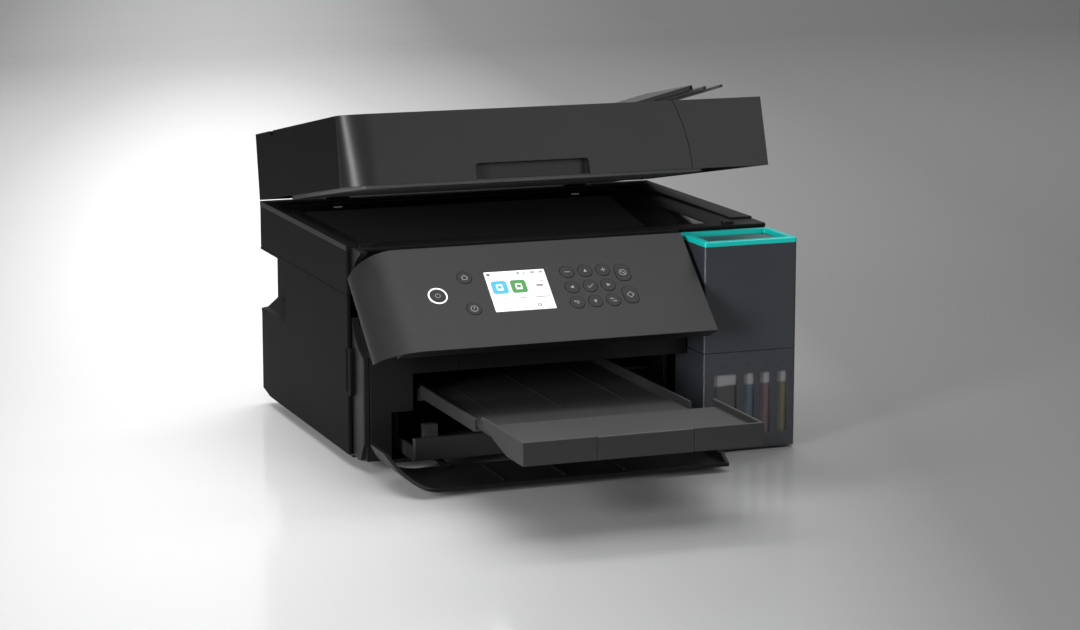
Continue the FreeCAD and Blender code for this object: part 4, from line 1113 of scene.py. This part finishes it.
@dataclass(frozen=True)
class Softbox:
    """One rectangular area light: place, point that it looks at, width and height, watts."""

    name: str
    at: Point
    aim: Point
    size: tuple[float, float]
    power: float

    def build(self) -> None:
        """Add the light, turned so that its -Z axis runs from its place to its aim."""
        lamp = bpy.data.lights.new(self.name, "AREA")
        lamp.shape = "RECTANGLE"
        lamp.size, lamp.size_y = self.size
        lamp.energy = self.power
        holder = bpy.data.objects.new(self.name, lamp)
        bpy.context.scene.collection.objects.link(holder)
        way = np.array(self.aim) - np.array(self.at)
        flat = math.hypot(way[0], way[1])
        holder.location = self.at
        holder.rotation_euler = (math.atan2(flat, -way[2]), 0.0, math.atan2(-way[0], way[1]))


@dataclass
class Studio:
    """Pale floor and sweep with a painted pool of light, soft lights and the camera."""

    camera_at: Point = (-0.88705, -2.40856, 0.58242)
    camera_turn: Point = (79.29, 0.0, -20.61)
    lamps: Sequence[Softbox] = (
        Softbox("overhead_soft", (0.1, -0.2, 2.6), (0.0, -0.05, 0.12), (2.6, 2.2), 50.0),
        Softbox("left_strip", (-2.35, -1.7, 0.75), (0.0, -0.05, 0.12), (0.55, 1.5), 105.0),
        Softbox("front_soft", (1.2, -2.6, 1.3), (0.0, -0.05, 0.12), (1.5, 1.2), 15.0),
        Softbox("rear_soft", (0.3, 2.4, 2.0), (0.0, -0.05, 0.12), (2.4, 1.2), 18.0),
        Softbox("sweep_wash", (0.4, 1.9, 3.0), (0.6, 3.2, 0.0), (4.5, 1.6), 190.0))
    surround: Colour = (0.92, 0.94, 0.96)
    surround_strength: float = 0.13
    lens: float = 99.85
    sensor: float = 36.0
    half_width: float = 5.0
    front: float = -4.5
    back: float = 3.2
    bend: float = 1.6
    wall: float = 4.0
    # painted pool of light on the floor: middle, turn, stretch and fall-off of its base colour
    pool: tuple[float, float] = (-0.02, 0.95)
    pool_turn: float = -15.0
    pool_stretch: float = 6.5
    pool_falloff: Sequence[tuple[float, float]] = ((0.0, 0.90), (0.12, 0.82), (0.34, 0.45), (0.62, 0.20),
                                                   (1.0, 0.15))

    def floor(self) -> None:
        """Sweep: flat floor, quarter-circle bend, upright wall, as a grid along X.

        The bend is (back + bend sin a, bend (1 - cos a)) for a from 0 to a quarter turn.
        """
        turn = np.linspace(0, math.pi / 2, 24)
        bend_y = self.back + self.bend * np.sin(turn)
        bend_z = self.bend * (1 - np.cos(turn))
        y = np.concatenate([[self.front], bend_y, [self.back + self.bend]])
        z = np.concatenate([[0.0], bend_z, [self.wall]])
        x = np.array([-self.half_width, self.half_width])
        points = np.stack([np.repeat(x, len(y)), np.tile(y, 2), np.tile(z, 2)], axis=1)
        row = np.arange(len(y) - 1)
        faces = np.column_stack([row, row + len(y), row + len(y) + 1, row + 1]).tolist()
        mesh = bpy.data.meshes.new("studio_floor")
        mesh.from_pydata(points.tolist(), [], faces)
        mesh.polygons.foreach_set("use_smooth", np.ones(len(mesh.polygons), dtype=bool))
        mesh.materials.append(self._floor_material())
        sweep = bpy.data.objects.new("studio_floor", mesh)
        bpy.context.scene.collection.objects.link(sweep)
        sweep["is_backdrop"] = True

    def _floor_material(self) -> bpy.types.Material:
        """Polished pale floor with a painted pool of light: brightest in an oval round the object's left
        rear, greyer away from it.

        The distance used is |S R (p - pool)|, with R a turn about Z and S a squeeze along the oval's length.

        Returns:
            The material.
        """
        sheet = MaterialSheet("studio_white")
        g = sheet.graph
        oval = g.add("ShaderNodeMapping", {"vector_type": "TEXTURE"}, Vector=sheet.place)
        oval.inputs["Location"].default_value = (*self.pool, 0.0)
        oval.inputs["Rotation"].default_value = (0.0, 0.0, math.radians(self.pool_turn))
        oval.inputs["Scale"].default_value = (1.0, self.pool_stretch, 1.0)
        reach = g.add("ShaderNodeVectorMath", {"operation": "LENGTH"})
        g.feed(reach.inputs[0], oval.outputs[0])
        cloud = g.add("ShaderNodeTexNoise", Vector=sheet.place, Scale=1.5, Detail=2.0)
        soft = g.math("ADD", reach.outputs["Value"], g.math("MULTIPLY", cloud.outputs[0], 0.02))
        # Painted pool of light: the base colour falls from near white in the middle of the oval to grey away
        # from it.
        sheet.set("Base Color", g.ramp(soft, self.pool_falloff))
        sheet.set("Roughness", g.math("ADD", g.math("MULTIPLY", cloud.outputs[0], 0.03), 0.12))
        sheet.set("Specular IOR Level", 0.5)
        return sheet.material

    def lights(self) -> None:
        """Overhead, left, right and rear softboxes over a dim even surround."""
        for lamp in self.lamps:
            lamp.build()
        world = bpy.data.worlds.new("surround")
        world.use_nodes = True
        ground = world.node_tree.nodes["Background"]
        ground.inputs["Color"].default_value = (*self.surround, 1.0)
        ground.inputs["Strength"].default_value = self.surround_strength
        bpy.context.scene.world = world

    def camera(self) -> None:
        """Long-lens camera at three-quarter left front, slightly above."""
        data = bpy.data.cameras.new("camera")
        data.lens = self.lens
        data.sensor_width = self.sensor
        data.clip_start = 0.05
        data.clip_end = 50.0
        data.dof.use_dof = False
        camera = bpy.data.objects.new("camera", data)
        bpy.context.scene.collection.objects.link(camera)
        camera.location = self.camera_at
        camera.rotation_euler = tuple(math.radians(a) for a in self.camera_turn)
        bpy.context.scene.camera = camera

    def build(self) -> None:
        """Make floor, lights and camera, and set the picture's tone."""
        self.floor()
        self.lights()
        self.camera()
        scene = bpy.context.scene
        scene.view_settings.view_transform = "Standard"
        scene.view_settings.look = "None"
        scene.view_settings.exposure = 0.0
        LOG.info("studio ready")


def write_sizes() -> None:
    """Log whether the shown box lies inside the CAD box.
    """
    low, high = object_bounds()
    inside = bool(np.all(np.array(low) >= np.array(CAD_LOW) - SAME_SIZE)
                  and np.all(np.array(high) <= np.array(CAD_HIGH) + SAME_SIZE))
    LOG.info("visual box inside CAD box: %s", inside)


def main() -> None:
    """Dress the frame, add the surface pieces and set up the studio."""
    logging.basicConfig(level=logging.INFO, format="%(name)s: %(message)s")
    book = FinishBook(SharedEffects())
    book.dress_frame(frame)
    ControlPanelLook(book).build()
    TankUnitLook(book).build()
    Studio().build()
    write_sizes()


if __name__ == "__main__":
    main()
